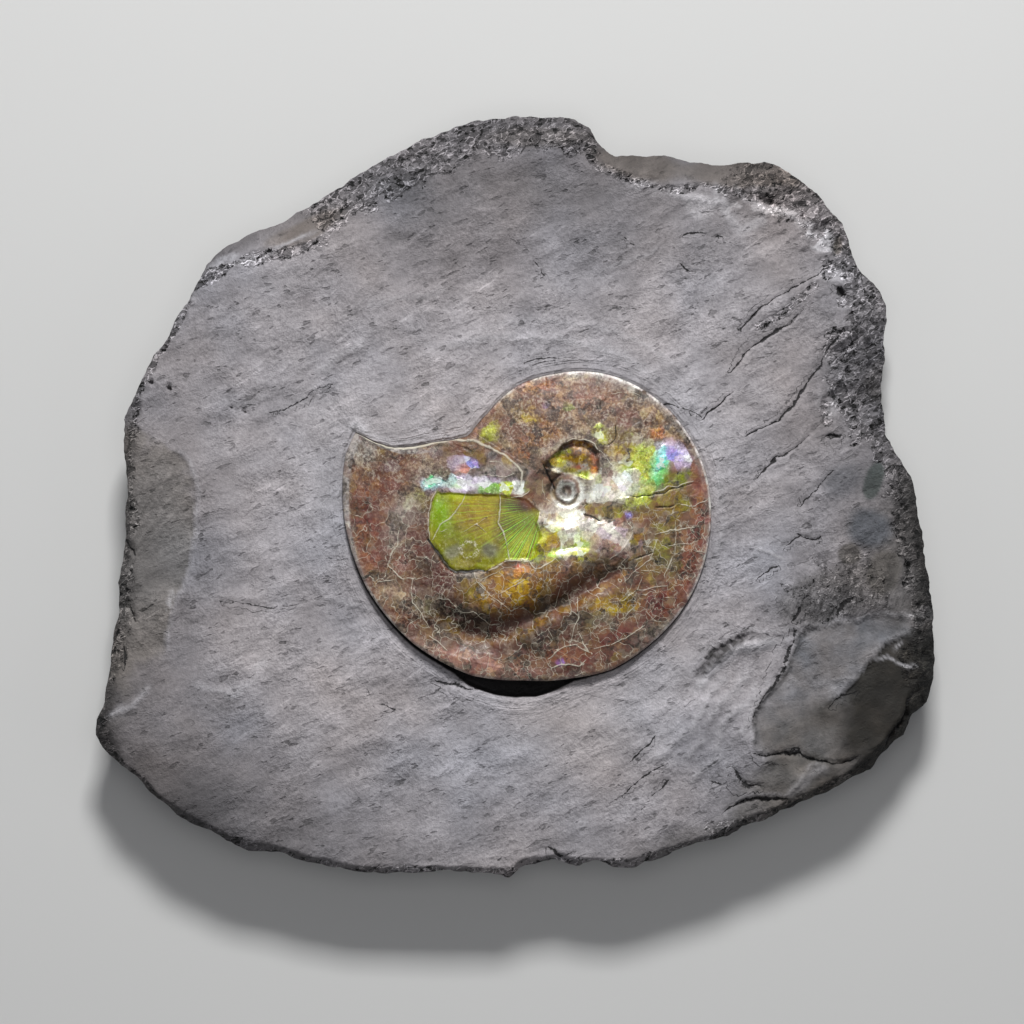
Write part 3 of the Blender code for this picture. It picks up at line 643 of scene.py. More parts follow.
class Thread:
    """A shader value that can be reckoned with: each step adds the node that works it out."""

    def __init__(self, socket):
        self.socket = socket

    def node(self, kind, settings=None, sockets=None, output=0):
        """Adds any node: its settings first, then the values or links of its sockets."""
        tree = self.socket.id_data
        added = tree.nodes.new(kind)
        for name, value in (settings or {}).items():
            setattr(added, name, value)
        for name, value in (sockets or {}).items():
            if isinstance(value, Thread):
                tree.links.new(value.socket, added.inputs[name])
            else:
                added.inputs[name].default_value = value
        return Thread(added.outputs[output])

    def other(self, output):
        """Another output of the node that this value comes from."""
        return Thread(self.socket.node.outputs[output])

    def maths(self, operation, *values):
        return self.node("ShaderNodeMath", {"operation": operation}, dict(enumerate(values)))

    def __add__(self, other):
        return self.maths("ADD", self, other)

    __radd__ = __add__

    def __sub__(self, other):
        return self.maths("SUBTRACT", self, other)

    def __rsub__(self, other):
        return self.maths("SUBTRACT", other, self)

    def __mul__(self, other):
        return self.maths("MULTIPLY", self, other)

    __rmul__ = __mul__

    def __abs__(self):
        return self.maths("ABSOLUTE", self)

    def vector(self, operation, other):
        """This vector and another, added or reckoned with in another way."""
        return self.node("ShaderNodeVectorMath", {"operation": operation}, {0: self, 1: other})

    def scaled(self, factor):
        """This vector or colour, times a number."""
        return self.node("ShaderNodeVectorMath", {"operation": "SCALE"}, {0: self, "Scale": factor})

    def part(self, axis):
        """One of the three numbers of this vector or colour, by X, Y or Z."""
        return self.node("ShaderNodeSeparateXYZ", {}, {"Vector": self}, axis)

    def between(self, low, high):
        """Eases from 0 to 1 as the value goes from low to high."""
        return self.node("ShaderNodeMapRange", {"interpolation_type": "SMOOTHSTEP"},
                         {"Value": self, "From Min": low, "From Max": high})

    def blend(self, first, second):
        """Mixes two colours, by this value."""
        return self.node("ShaderNodeMix", {"data_type": "RGBA"}, {0: self, 6: first, 7: second}, 2)

    def stored(self, name, output="Fac"):
        """The number, or with another output the vector or colour, stored in the mesh's points."""
        return self.node("ShaderNodeAttribute", {"attribute_name": name}, {}, output)

    def grain(self, stretch, turn):
        """This vector, squeezed along a turned grain so that patterns on it come out longer there."""
        return self.node("ShaderNodeMapping", {"vector_type": "TEXTURE"}, {
            "Vector": self, "Rotation": (0, 0, np.radians(turn)), "Scale": (stretch, 1, 1)})

    def noisy(self, length, detail=3, roughness=0.5):
        """Flat noise from 0 to 1 over this vector, its length in millimetres."""
        return self.node("ShaderNodeTexNoise", {"noise_dimensions": "2D"}, {
            "Vector": self, "Scale": 1000 / length, "Detail": detail, "Roughness": roughness})

    def cells(self, length, feature="F1", output="Distance"):
        """Flat cells over this vector, their length in millimetres."""
        return self.node("ShaderNodeTexVoronoi", {"feature": feature, "voronoi_dimensions": "2D"}, {
            "Vector": self, "Scale": 1000 / length}, output)

    def warped(self, length, reach):
        """This vector, pushed about by noise of the given length, up to the reach in millimetres."""
        push = self.noisy(length, 1).other("Color").vector("SUBTRACT", (0.5, 0.5, 0.5))
        # The noise strays by about a quarter either way, so the push is four times the reach.
        return self.vector("ADD", push.scaled(reach * 4 * MM))

    def rays(self, root, count, push, roughness):
        """Noise in rays about a root, so many to the radian, each pushed aside a little."""
        from_root = self.vector("SUBTRACT", root)
        turn = self.maths("ARCTAN2", from_root.part("Y"), from_root.part("X"))
        return turn.node("ShaderNodeTexNoise", {"noise_dimensions": "1D"}, {
            "W": turn * count + push, "Scale": 1.0, "Detail": 2.0, "Roughness": roughness})


def new_finish(name):
    """A material, its Principled shader, and the thread of Object coordinates to start from."""
    material = bpy.data.materials.new(name)
    material.use_nodes = True
    tree = material.node_tree
    principled = tree.nodes["Principled BSDF"]
    coordinates = tree.nodes.new("ShaderNodeTexCoord")
    return material, principled, Thread(coordinates.outputs["Object"])


def plug(principled, **threads):
    """Links threads to the shader's sockets."""
    for name, thread in threads.items():
        socket = principled.inputs[name.replace("_", " ")]
        principled.id_data.links.new(thread.socket, socket)


# Shale: a dull, slightly purple grey, finely pitted, with dusty edges that the chisel bruised.
CRACK_SHADE_COLOUR = (0.0102, 0.00975, 0.0102, 1)
shale, principled, spot = new_finish("shale")
flat = spot.stored("laid_out", "Vector")
strokes = flat.grain(1.6, 26).noisy(13, 3, 0.5)
grains = flat.noisy(3.4, 3, 0.8)
dents = flat.grain(2.2, 24).noisy(6, 2).between(0.66, 0.71)
scratches = flat.grain(7.0, 34).noisy(5, 2).between(0.67, 0.73)
rough_spots = flat.noisy(30, 2).between(0.40, 0.62)

# Where the rock is shattered it lies in small chips with pale bruised edges, and the hollows between them are
# painted dark as shade.
chipped = flat.grain(1.8, 32).warped(6, 2.4)
chip_tone = chipped.cells(4.4, output="Color").between(0, 1)
chip_edge = 1 - chipped.cells(4.4, "DISTANCE_TO_EDGE").between(0.0, 0.14)
shatter = flat.grain(1.5, 32).noisy(5, 3, 0.8)
chip_edge = chip_edge * shatter.between(0.45, 0.56)
hollows = flat.grain(1.4, 10).noisy(4.6, 3, 0.7).between(0.53, 0.60)

crack_width = abs(spot.stored("crack_side")) + (strokes - 0.5) * 5.0 + (grains - 0.5) * 4.0
crack = 1 - crack_width.between(0.4, 1.2)
broken_mask = (spot.stored("broken") + (grains - 0.5) * 1.3).between(0.35, 0.65)
calm, fan_mask, hackle_mask = spot.stored("calm"), spot.stored("fan"), spot.stored("hackles")
shaded_scar = spot.stored("shaded_scar")
near_shell = 1 - spot.stored("from_shell").between(2, 26)
tool_marks = spot.node("ShaderNodeCombineXYZ", {}, {
    0: spot.stored("from_shell") * 0.001, 1: strokes * 0.008}).noisy(4.0, 2, 0.6)

# Rays of the plume-like imprint at the left edge, spread about their root.
rays = spot.rays((-0.330, -0.075, 0), 16.0, strokes * 0.5, 0.6)
# Ribs of the hackly patch stand across it.
ribs = flat.grain(2.6, 74).noisy(4.6, 3, 0.7)

fine = 1 + calm * (strokes - 0.5) * 0.55 + (calm * 0.6 + 0.4) * (grains - 0.5) * 1.15
fine = fine + (scratches * rough_spots * 0.36 - dents * 0.42) * calm
ribbed = (ribs - 0.5) * 0.9 - (1 - ribs.between(0.30, 0.38)) * 0.3
fine = fine + fan_mask * (rays - 0.5) * 0.6 + hackle_mask * ribbed
fine = fine * (1 + broken_mask * ((chip_tone - 0.5) * 1.0 + chip_edge * 1.9 - hollows * 0.62 - 0.16))
# Cracks are painted near black, as the shade inside them.
base = (crack * 0.92).blend(spot.stored("tint", "Color").scaled(fine), CRACK_SHADE_COLOUR)

relief_level = calm * (strokes * 3.2 + grains * 0.9 - dents * 0.6) + grains * 0.4
relief_level = relief_level + broken_mask * ((shatter - 0.5) * 3.0 - hollows * 0.8)
relief_level = relief_level + near_shell * tool_marks * 1.8
relief_level = relief_level + (hackle_mask * 2.4 + shaded_scar * 3.0) * ribs - crack * 1.4
bumpy = relief_level.node("ShaderNodeBump", {}, {
    "Strength": 1.0, "Distance": 0.001, "Height": relief_level})
plug(principled, Base_Color=base, Normal=bumpy, Roughness=0.66 + grains * 0.25)
principled.inputs["Specular IOR Level"].default_value = 0.35

slab = in_scene("slab", slab_mesh)
slab_mesh.shade_smooth()
slab_mesh.materials.append(shale)
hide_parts("shale_slab")
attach(slab, "root")

# The ammonite.
# A disc-shaped ammonite pressed in the shale, whose own aragonite shell is kept as ammolite: layers of nacre
# that split light into red, gold, green and, where they are thinnest, blue and violet. It is crazed all over.
SHELL_CELLS = 296
UMBILICUS_RADIUS = 33.0
UMBILICUS_FLOOR = 3.0
EDGE_ROUNDING = 3.0
SHELL_TOP = 21.8

# Heights above the slab along the coil: degrees clockwise from the junction, shoulder, outer edge.
COIL_HEIGHTS = [
    (0, 13, 2), (60, 13, 2), (140, 15, 3), (200, 17, 4), (240, 18, 8), (290, 18, 8), (352, 18, 3),
    (359, 17, 3), (360, 13, 2)]
UNDERSIDE = [(1.0, 2.0), (0.93, 9.0), (0.75, 14.0)]

# Swellings and hollows of the shell: centre, half lengths, turn in degrees, height.
SHELL_RELIEF = [
    ((10, -72), (62, 20), 24, 5.5),
    ((-52, -92), (22, 16), -25, 1.5),
    ((-20, -24), (46, 30), 0, 1.5),
    ((72, -36), (24, 17), 20, 2.2),
    ((-30, -118), (70, 14), -14, -2.0),
    ((120, -90), (34, 20), 40, 1.2),
    ((-96, -26), (16, 40), 10, 1.0)]
FOLD = [
    (96, -50), (88, -56), (73, -66), (55, -75), (43, -83), (28, -90), (13, -98), (-2, -106), (-20, -111),
    (-40, -108), (-54, -94), (-60, -78)]
# Along the fold, from its right end to its left: how far its shaded slope and its lit lip reach.
FOLD_SHADE = [(0, 13), (0.5, 14), (1, 15)]
FOLD_LIT = [(0, 5), (0.45, 6), (0.7, 13), (1, 15)]
FOLD_DEPTH = 8.5
WINDOW = [
    (21.6, 23.6), (23.6, 28.6), (33.5, 36.5), (38.5, 42.5), (46.5, 45.5), (55.4, 44.5), (62.4, 40.5),
    (66.4, 35.5), (66.9, 25.6), (66.4, 18.6), (62.4, 13.6), (57.4, 13.2), (48.5, 16.1), (36.5, 18.1),
    (24.6, 22.1)]
GREEN_PATCH = [
    (-62.8, 5.2), (-59.9, 3.3), (-40.5, 2.3), (-13.3, 1.4), (-4.6, 0.4), (8, -1.6), (14, -6), (20, -12),
    (17, -21), (21, -31), (16, -39), (19, -46), (12, -51), (0.2, -50.3), (-8.5, -49.8), (-16.2, -55.6),
    (-25, -59.5), (-33.7, -58.5), (-47.3, -60), (-53.1, -57.1), (-57.9, -50.8), (-63.7, -42.1),
    (-68.6, -34.3), (-69.1, -24.6), (-67, -8)]

# Cracks filled with pale calcite: width, line. The first is the last whorl's inner lip.
SHELL_VEINS = [
    (1.9, [(-126, 51), (-119, 46), (-111, 43), (-102, 39), (-88, 38), (-78, 40), (-68, 42), (-58, 44),
           (-48, 45), (-38, 45), (-29, 43), (-19, 38), (-10, 34), (-5, 30), (1, 25), (5, 20), (5, 14),
           (4, 9)]),
    (0.96, [(-40, 2), (-42, -3), (-47, -11), (-53, -18), (-60, -22), (-64, -30), (-66, -35)]),
    (1.1, [(-13, 2), (-12, -5), (-13, -17), (-14, -21), (-9, -28), (-6, -42), (-5, -50)]),
    (0.84, [(-63, 5), (-67, -3), (-69, -13), (-70, -23), (-68, -35)]),
    (0.6, [(-21, 28), (-12, 27), (-5, 21), (-1, 17)]), (0.6, [(-25, 18), (-18, 16), (-7, 16), (-1, 18)]),
    (0.72, [(-3, -1), (5, 0), (11, 4)]), (0.48, [(77, 82), (86, 83), (93, 83), (99, 81)]),
    (0.72, [(39, 43), (46, 46), (56, 45), (63, 42), (67, 36)]),
    (0.48, [(67, 37), (73, 30), (79, 22), (83, 16), (88, 9)]),
    (0.84, [(109, 3), (117, 5), (123, 8), (129, 7), (133, 10), (142, 12)]),
    (0.72, [(111, -30), (123, -27), (143, -25)]), (0.54, [(127, -6), (143, -8), (155, -1)]),
    (0.48, [(53, -9), (59, -6), (68, -4), (79, -4), (88, -6)]),
    (0.54, [(22, 13), (21, 6), (24, -1), (30, -6)]),
    (0.9, [(-93, -25), (-94, -38), (-99, -47), (-102, -54), (-97, -60), (-90, -66), (-80, -65)]),
    (0.72, [(-102, -56), (-104, -64), (-112, -70)]),
    (0.72, [(-82, -65), (-83, -77), (-82, -85), (-76, -92), (-69, -104)]),
    (0.54, [(-108, -69), (-96, -66)]), (0.78, [(-69, -111), (-61, -116), (-54, -123)]),
    (1.1, [(-25, -61), (-16, -57), (-8, -51), (0, -51), (9, -52)]),
    (0.48, [(-31, -67), (-19, -79), (-9, -86), (-3, -91), (5, -87)]),
    (0.48, [(-11, -77), (-3, -72), (11, -65)]), (0.48, [(-29, -67), (-14, -60)]),
    (0.54, [(-44, -93), (-34, -92), (-26, -98), (-20, -102), (-12, -102)]),
    (0.48, [(-63, -81), (-53, -82), (-45, -92)]),
    (0.9, [(4, -50), (10, -51), (15, -57), (21, -57), (27, -53), (32, -49)]),
    (0.66, [(50, -80), (49, -88), (50, -96), (46, -108), (43, -118)]),
    (0.72, [(51, -108), (54, -118), (61, -126)]),
    (0.72, [(63, -121), (77, -118), (88, -113), (96, -108), (103, -103)]),
    (0.54, [(67, -108), (73, -105), (79, -106), (88, -111)]),
    (0.72, [(26, -130), (34, -123), (39, -119), (48, -119), (55, -122), (61, -125)]),
    (1, [(28, -138), (36, -134), (51, -135), (57, -131)]),
    (0.54, [(89, -79), (98, -75), (109, -73), (121, -71)]),
    (0.66, [(121, -69), (119, -63), (123, -54), (125, -48)]), (0.54, [(101, -59), (109, -59), (116, -61)]),
    (0.42, [(127, -19), (128, -29), (127, -47)]), (0.54, [(121, -40), (133, -38), (142, -37)]),
    (0.54, [(143, -39), (146, -44), (153, -45)]),
    (0.48, [(86, -69), (93, -62), (99, -57), (107, -51), (113, -34)]),
    (0.42, [(97, -78), (99, -71), (101, -64)]), (0.42, [(37, -71), (34, -80), (31, -88)]),
    (0.6, [(104, -92), (109, -96), (113, -100), (120, -100)]), (0.42, [(86, -98), (90, -93), (95, -87)]),
    (0.42, [(65, -80), (59, -77), (56, -73)]), (0.54, [(69, -86), (79, -84), (87, -83), (93, -77)]),
    (0.78, [(89, -19), (93, -24), (93, -31), (88, -40), (81, -47), (75, -50)]),
    (0.42, [(116, -78), (119, -81), (130, -81)]), (0.36, [(-41, -28), (-21, -16)]),
    (0.36, [(-32, -22), (-22, -29)]), (0.36, [(-60, -28), (-54, -26)])]
# Open cracks: width, depth, line.
SHELL_GAPS = [
    (2.4, 2.6, [(-69.6, -34.3), (-63.7, -42.1), (-57.9, -50.8), (-53.1, -57.1), (-47.3, -60), (-37.6, -60),
                (-33.7, -58.5), (-25, -59.5)]),
    (1.2, 1.2, [(54.4, -13.2), (60.4, -16.2), (67.4, -19.2)]),
    (0.7, 1.0, [(88.2, 0.7), (98.2, -0.3), (109.1, 1.2), (118.1, 2.7), (125.1, 5.7), (133, 7.7),
                (141, 10.2)]),
    (1.0, 1.0, [(112.1, -8.7), (123.1, -8.2), (127, -6.2)]),
    (0.6, 0.8, [(68.3, 41.5), (75.3, 41.5), (79.3, 45.5), (80.3, 57.4)]),
    (1.4, 1.6, [(22, 26), (25, 20), (29, 12), (31, 6)]), (0.8, 1.0, [(96, -50), (104, -47), (110, -44)])]

outer_ring = shell_ring(4 * SHELL_CELLS)
dome = bmesh.new()
bmesh.ops.create_grid(dome, x_segments=SHELL_CELLS, y_segments=SHELL_CELLS, size=1)
turn_layer = dome.verts.layers.int.new("turn")
u, v = np.array([vert.co[:2] for vert in dome.verts]).T
grid_reach = np.maximum(np.maximum(abs(u), abs(v)), 1e-6)
# Each of the grid's four sides takes a quarter of the ring, clockwise from the top left corner.
quarter = np.select([v >= grid_reach - 1e-6, u >= grid_reach - 1e-6, v <= 1e-6 - grid_reach],
                    [u / grid_reach + 1, 3 - v / grid_reach, 5 - u / grid_reach], 7 + v / grid_reach) / 8
ring_turns = (quarter * len(outer_ring)) % len(outer_ring)
ring_closed = np.vstack([outer_ring, outer_ring[:1]])
at_edge = np.column_stack([np.interp(ring_turns, range(len(ring_closed)), ring_closed[:, axis])
                           for axis in (0, 1)])
for vert, ring_turn in zip(dome.verts, np.round(ring_turns).astype(int) % len(outer_ring)):
    vert[turn_layer] = int(ring_turn)
shell_places = SHELL_MIDDLE + (at_edge - SHELL_MIDDLE) * np.minimum(grid_reach, 1)[:, None]
to_edge = np.hypot(*(at_edge - shell_places).T)
shell_wobble = np.column_stack([drift(shell_places, 9, seed, 3) for seed in (31.3, 37.9)]) * 1.3


def lines_near(lines, snap):
    """How many half widths each of the shell's points lies from the nearest of some lines, and its taper.

    Points close to a line are moved on to it, so that it comes out crisp.
    """
    nearest, tapers = np.full(len(shell_places), 9.0), np.zeros(len(shell_places))
    for width, *others, line in lines:
        side, shift, along = beside_line(shell_places + 0.8 * shell_wobble, line)
        snapped = (abs(side) < snap) & (to_edge > 1.5)
        shell_places[snapped] += shift[snapped]
        side[snapped] = 0
        taper = 0.4 + 0.6 * np.sin(np.pi * np.clip(along, 0.02, 0.98)) ** 0.5
        distance = abs(side) / (0.5 * width * taper)
        nearer = distance < nearest
        nearest[nearer] = distance[nearer]
        depth = others[0] if others else 0.3 * width
        tapers = np.maximum(tapers, depth * taper * band(side, 0, 0.6 * width + 0.3))
    return nearest, tapers


vein_off, vein_ridge = lines_near(SHELL_VEINS, 0.5)
gap_off, gap_groove = lines_near(SHELL_GAPS, 0.4)

reach = np.hypot(*(shell_places - UMBILICUS).T)
from_eye = angle_about(UMBILICUS, shell_places)
coil = (WHORL_EDGE[0][0] - angle_about(UMBILICUS, shell_places + shell_wobble * 0.7)) % 360
edge_reach = from_table([(WHORL_EDGE[0][0] - degrees, radius) for degrees, radius in WHORL_EDGE], coil)
shoulder, edge = from_table(COIL_HEIGHTS, coil), from_table(COIL_HEIGHTS, coil, 2)
outward_share = np.clip((reach - UMBILICUS_RADIUS) / (edge_reach - UMBILICUS_RADIUS), 0, 1)
flank = edge + (shoulder - edge) * (1 - outward_share ** 1.8)
well = UMBILICUS_FLOOR + (shoulder - UMBILICUS_FLOOR) * smooth((reach - 9) / (UMBILICUS_RADIUS - 9)) ** 0.8
shell_height = np.where(reach > UMBILICUS_RADIUS, flank, well)
# The inmost whorls: a ring about a pit, and a gap beside it that the upper left wall overhangs.
upper_left = smooth(1.3 - abs((from_eye - 128 + 180) % 360 - 180) / 75)
shell_height += 3.2 * band(reach, 8, 2.4) - 2.2 * band(reach, 0, 3.2)
shell_height -= 3.0 * band(reach, 13.5, 2.2) * upper_left

# Walking the fold from right to left, the shaded slope is on the right hand and the lit lip on the left.
fold_left, shift, fold_along = beside_line(shell_places + shell_wobble, FOLD)
fold_side = -fold_left
fold_taper = smooth(np.sin(np.pi * np.clip(fold_along, 0.001, 0.999)) * 2.5)
fold_reach = np.where(fold_side > 0, from_table(FOLD_SHADE, fold_along), from_table(FOLD_LIT, fold_along))
fold_form = band(fold_side, 0, fold_reach)
shell_height -= FOLD_DEPTH * fold_form * fold_taper
shell_height += relief(shell_places, SHELL_RELIEF)


def inside_outline(places, corners):
    """How far inside a closed clockwise outline each place lies, in millimetres, negative outside."""
    corners = np.array(corners + corners[:1], dtype=float)
    nearest, crossings = np.full(len(places), 1e3), np.zeros(len(places), int)
    for start, end in zip(corners[:-1], corners[1:]):
        piece, offset = end - start, places - start
        share = np.clip(offset @ piece / (piece @ piece), 0, 1)
        nearest = np.minimum(nearest, np.hypot(*(offset - share[:, None] * piece).T))
        between = (start[1] > places[:, 1]) != (end[1] > places[:, 1])
        if piece[1]:
            crossed = start[0] + (places[:, 1] - start[1]) / piece[1] * piece[0]
            crossings += between & (places[:, 0] < crossed)
    return np.where(crossings % 2 == 1, nearest, -nearest)


window_depth = inside_outline(shell_places + 0.6 * shell_wobble, WINDOW)
green_depth = inside_outline(shell_places + 0.6 * shell_wobble, GREEN_PATCH)
shell_height -= 5.0 * smooth(window_depth / 2.5) - 2.0 * smooth((window_depth - 3) / 8)
shell_height -= 1.1 * smooth(green_depth / 1.6)
shell_height += vein_ridge - gap_groove

crush = facets(grain_places(shell_places + shell_wobble * 2, 9, 7, 15), 41, 1.0)
shell_height += 0.28 * crush * smooth((reach - 26) / 20) * (1 - smooth(green_depth / 2))
shell_height += 0.8 * drift(shell_places, 34, 43.1, 3) + 0.20 * drift(shell_places, 6, 44.1, 3)
shell_height *= min(1, SHELL_TOP / shell_height.max())
# The edge turns down to the shale.
shell_height -= 0.45 * EDGE_ROUNDING * (1 - np.clip(to_edge / EDGE_ROUNDING, 0, 1)) ** 2
shell_height = np.maximum(shell_height, 0.4)

for vert, place, height in zip(dome.verts, shell_places, shell_height):
    vert.co = (place[0] * MM, place[1] * MM, (SLAB_TOP + height) * MM)
for size, depth in UNDERSIDE:
    open_edges = [edge for edge in dome.edges if edge.is_boundary]
    for item in bmesh.ops.extrude_edge_only(dome, edges=open_edges)["geom"]:
        if isinstance(item, bmesh.types.BMVert):
            place = SHELL_MIDDLE + (outer_ring[item[turn_layer]] - SHELL_MIDDLE) * size
            item.co = (place[0] * MM, place[1] * MM, (SLAB_TOP - depth) * MM)
bmesh.ops.edgeloop_fill(dome, edges=[edge for edge in dome.edges if edge.is_boundary])
bmesh.ops.recalc_face_normals(dome, faces=dome.faces[:])
shell_mesh = bpy.data.meshes.new("ammonite")
dome.to_mesh(shell_mesh)
dome.free()

# The nacre's colours, in the words a cutter of ammolite would use. The black is painted shade, for open
# cracks, the umbilical pit and the shell's undercut lower edge, and the white is partly painted glare.
NACRE = {
    "tan": linear(158, 141, 122), "brown": linear(112, 86, 70), "umber": linear(62, 44, 30),
    "oxblood": linear(102, 58, 52), "wine": linear(96, 58, 54), "brick": linear(132, 86, 74),
    "rose": linear(158, 118, 110), "rust": linear(156, 90, 52), "orange": linear(198, 122, 60),
    "gold": linear(164, 132, 44), "ochre": linear(144, 106, 52), "olive": linear(122, 108, 54),
    "moss": linear(116, 126, 44), "meadow": linear(150, 152, 50), "lime": linear(182, 196, 64),
    "sulphur": linear(220, 212, 68), "leaf": linear(120, 182, 48), "emerald": linear(96, 226, 128),
    "cyan": linear(108, 220, 212), "violet": linear(160, 138, 232), "lilac": linear(190, 174, 204),
    "white_glare": linear(240, 244, 236), "cream": linear(220, 214, 194), "ash": linear(150, 146, 141),
    "slate": linear(112, 110, 114), "mauve": linear(130, 110, 106), "khaki": linear(121, 112, 95),
    "shadow_black": linear(18, 13, 10)}

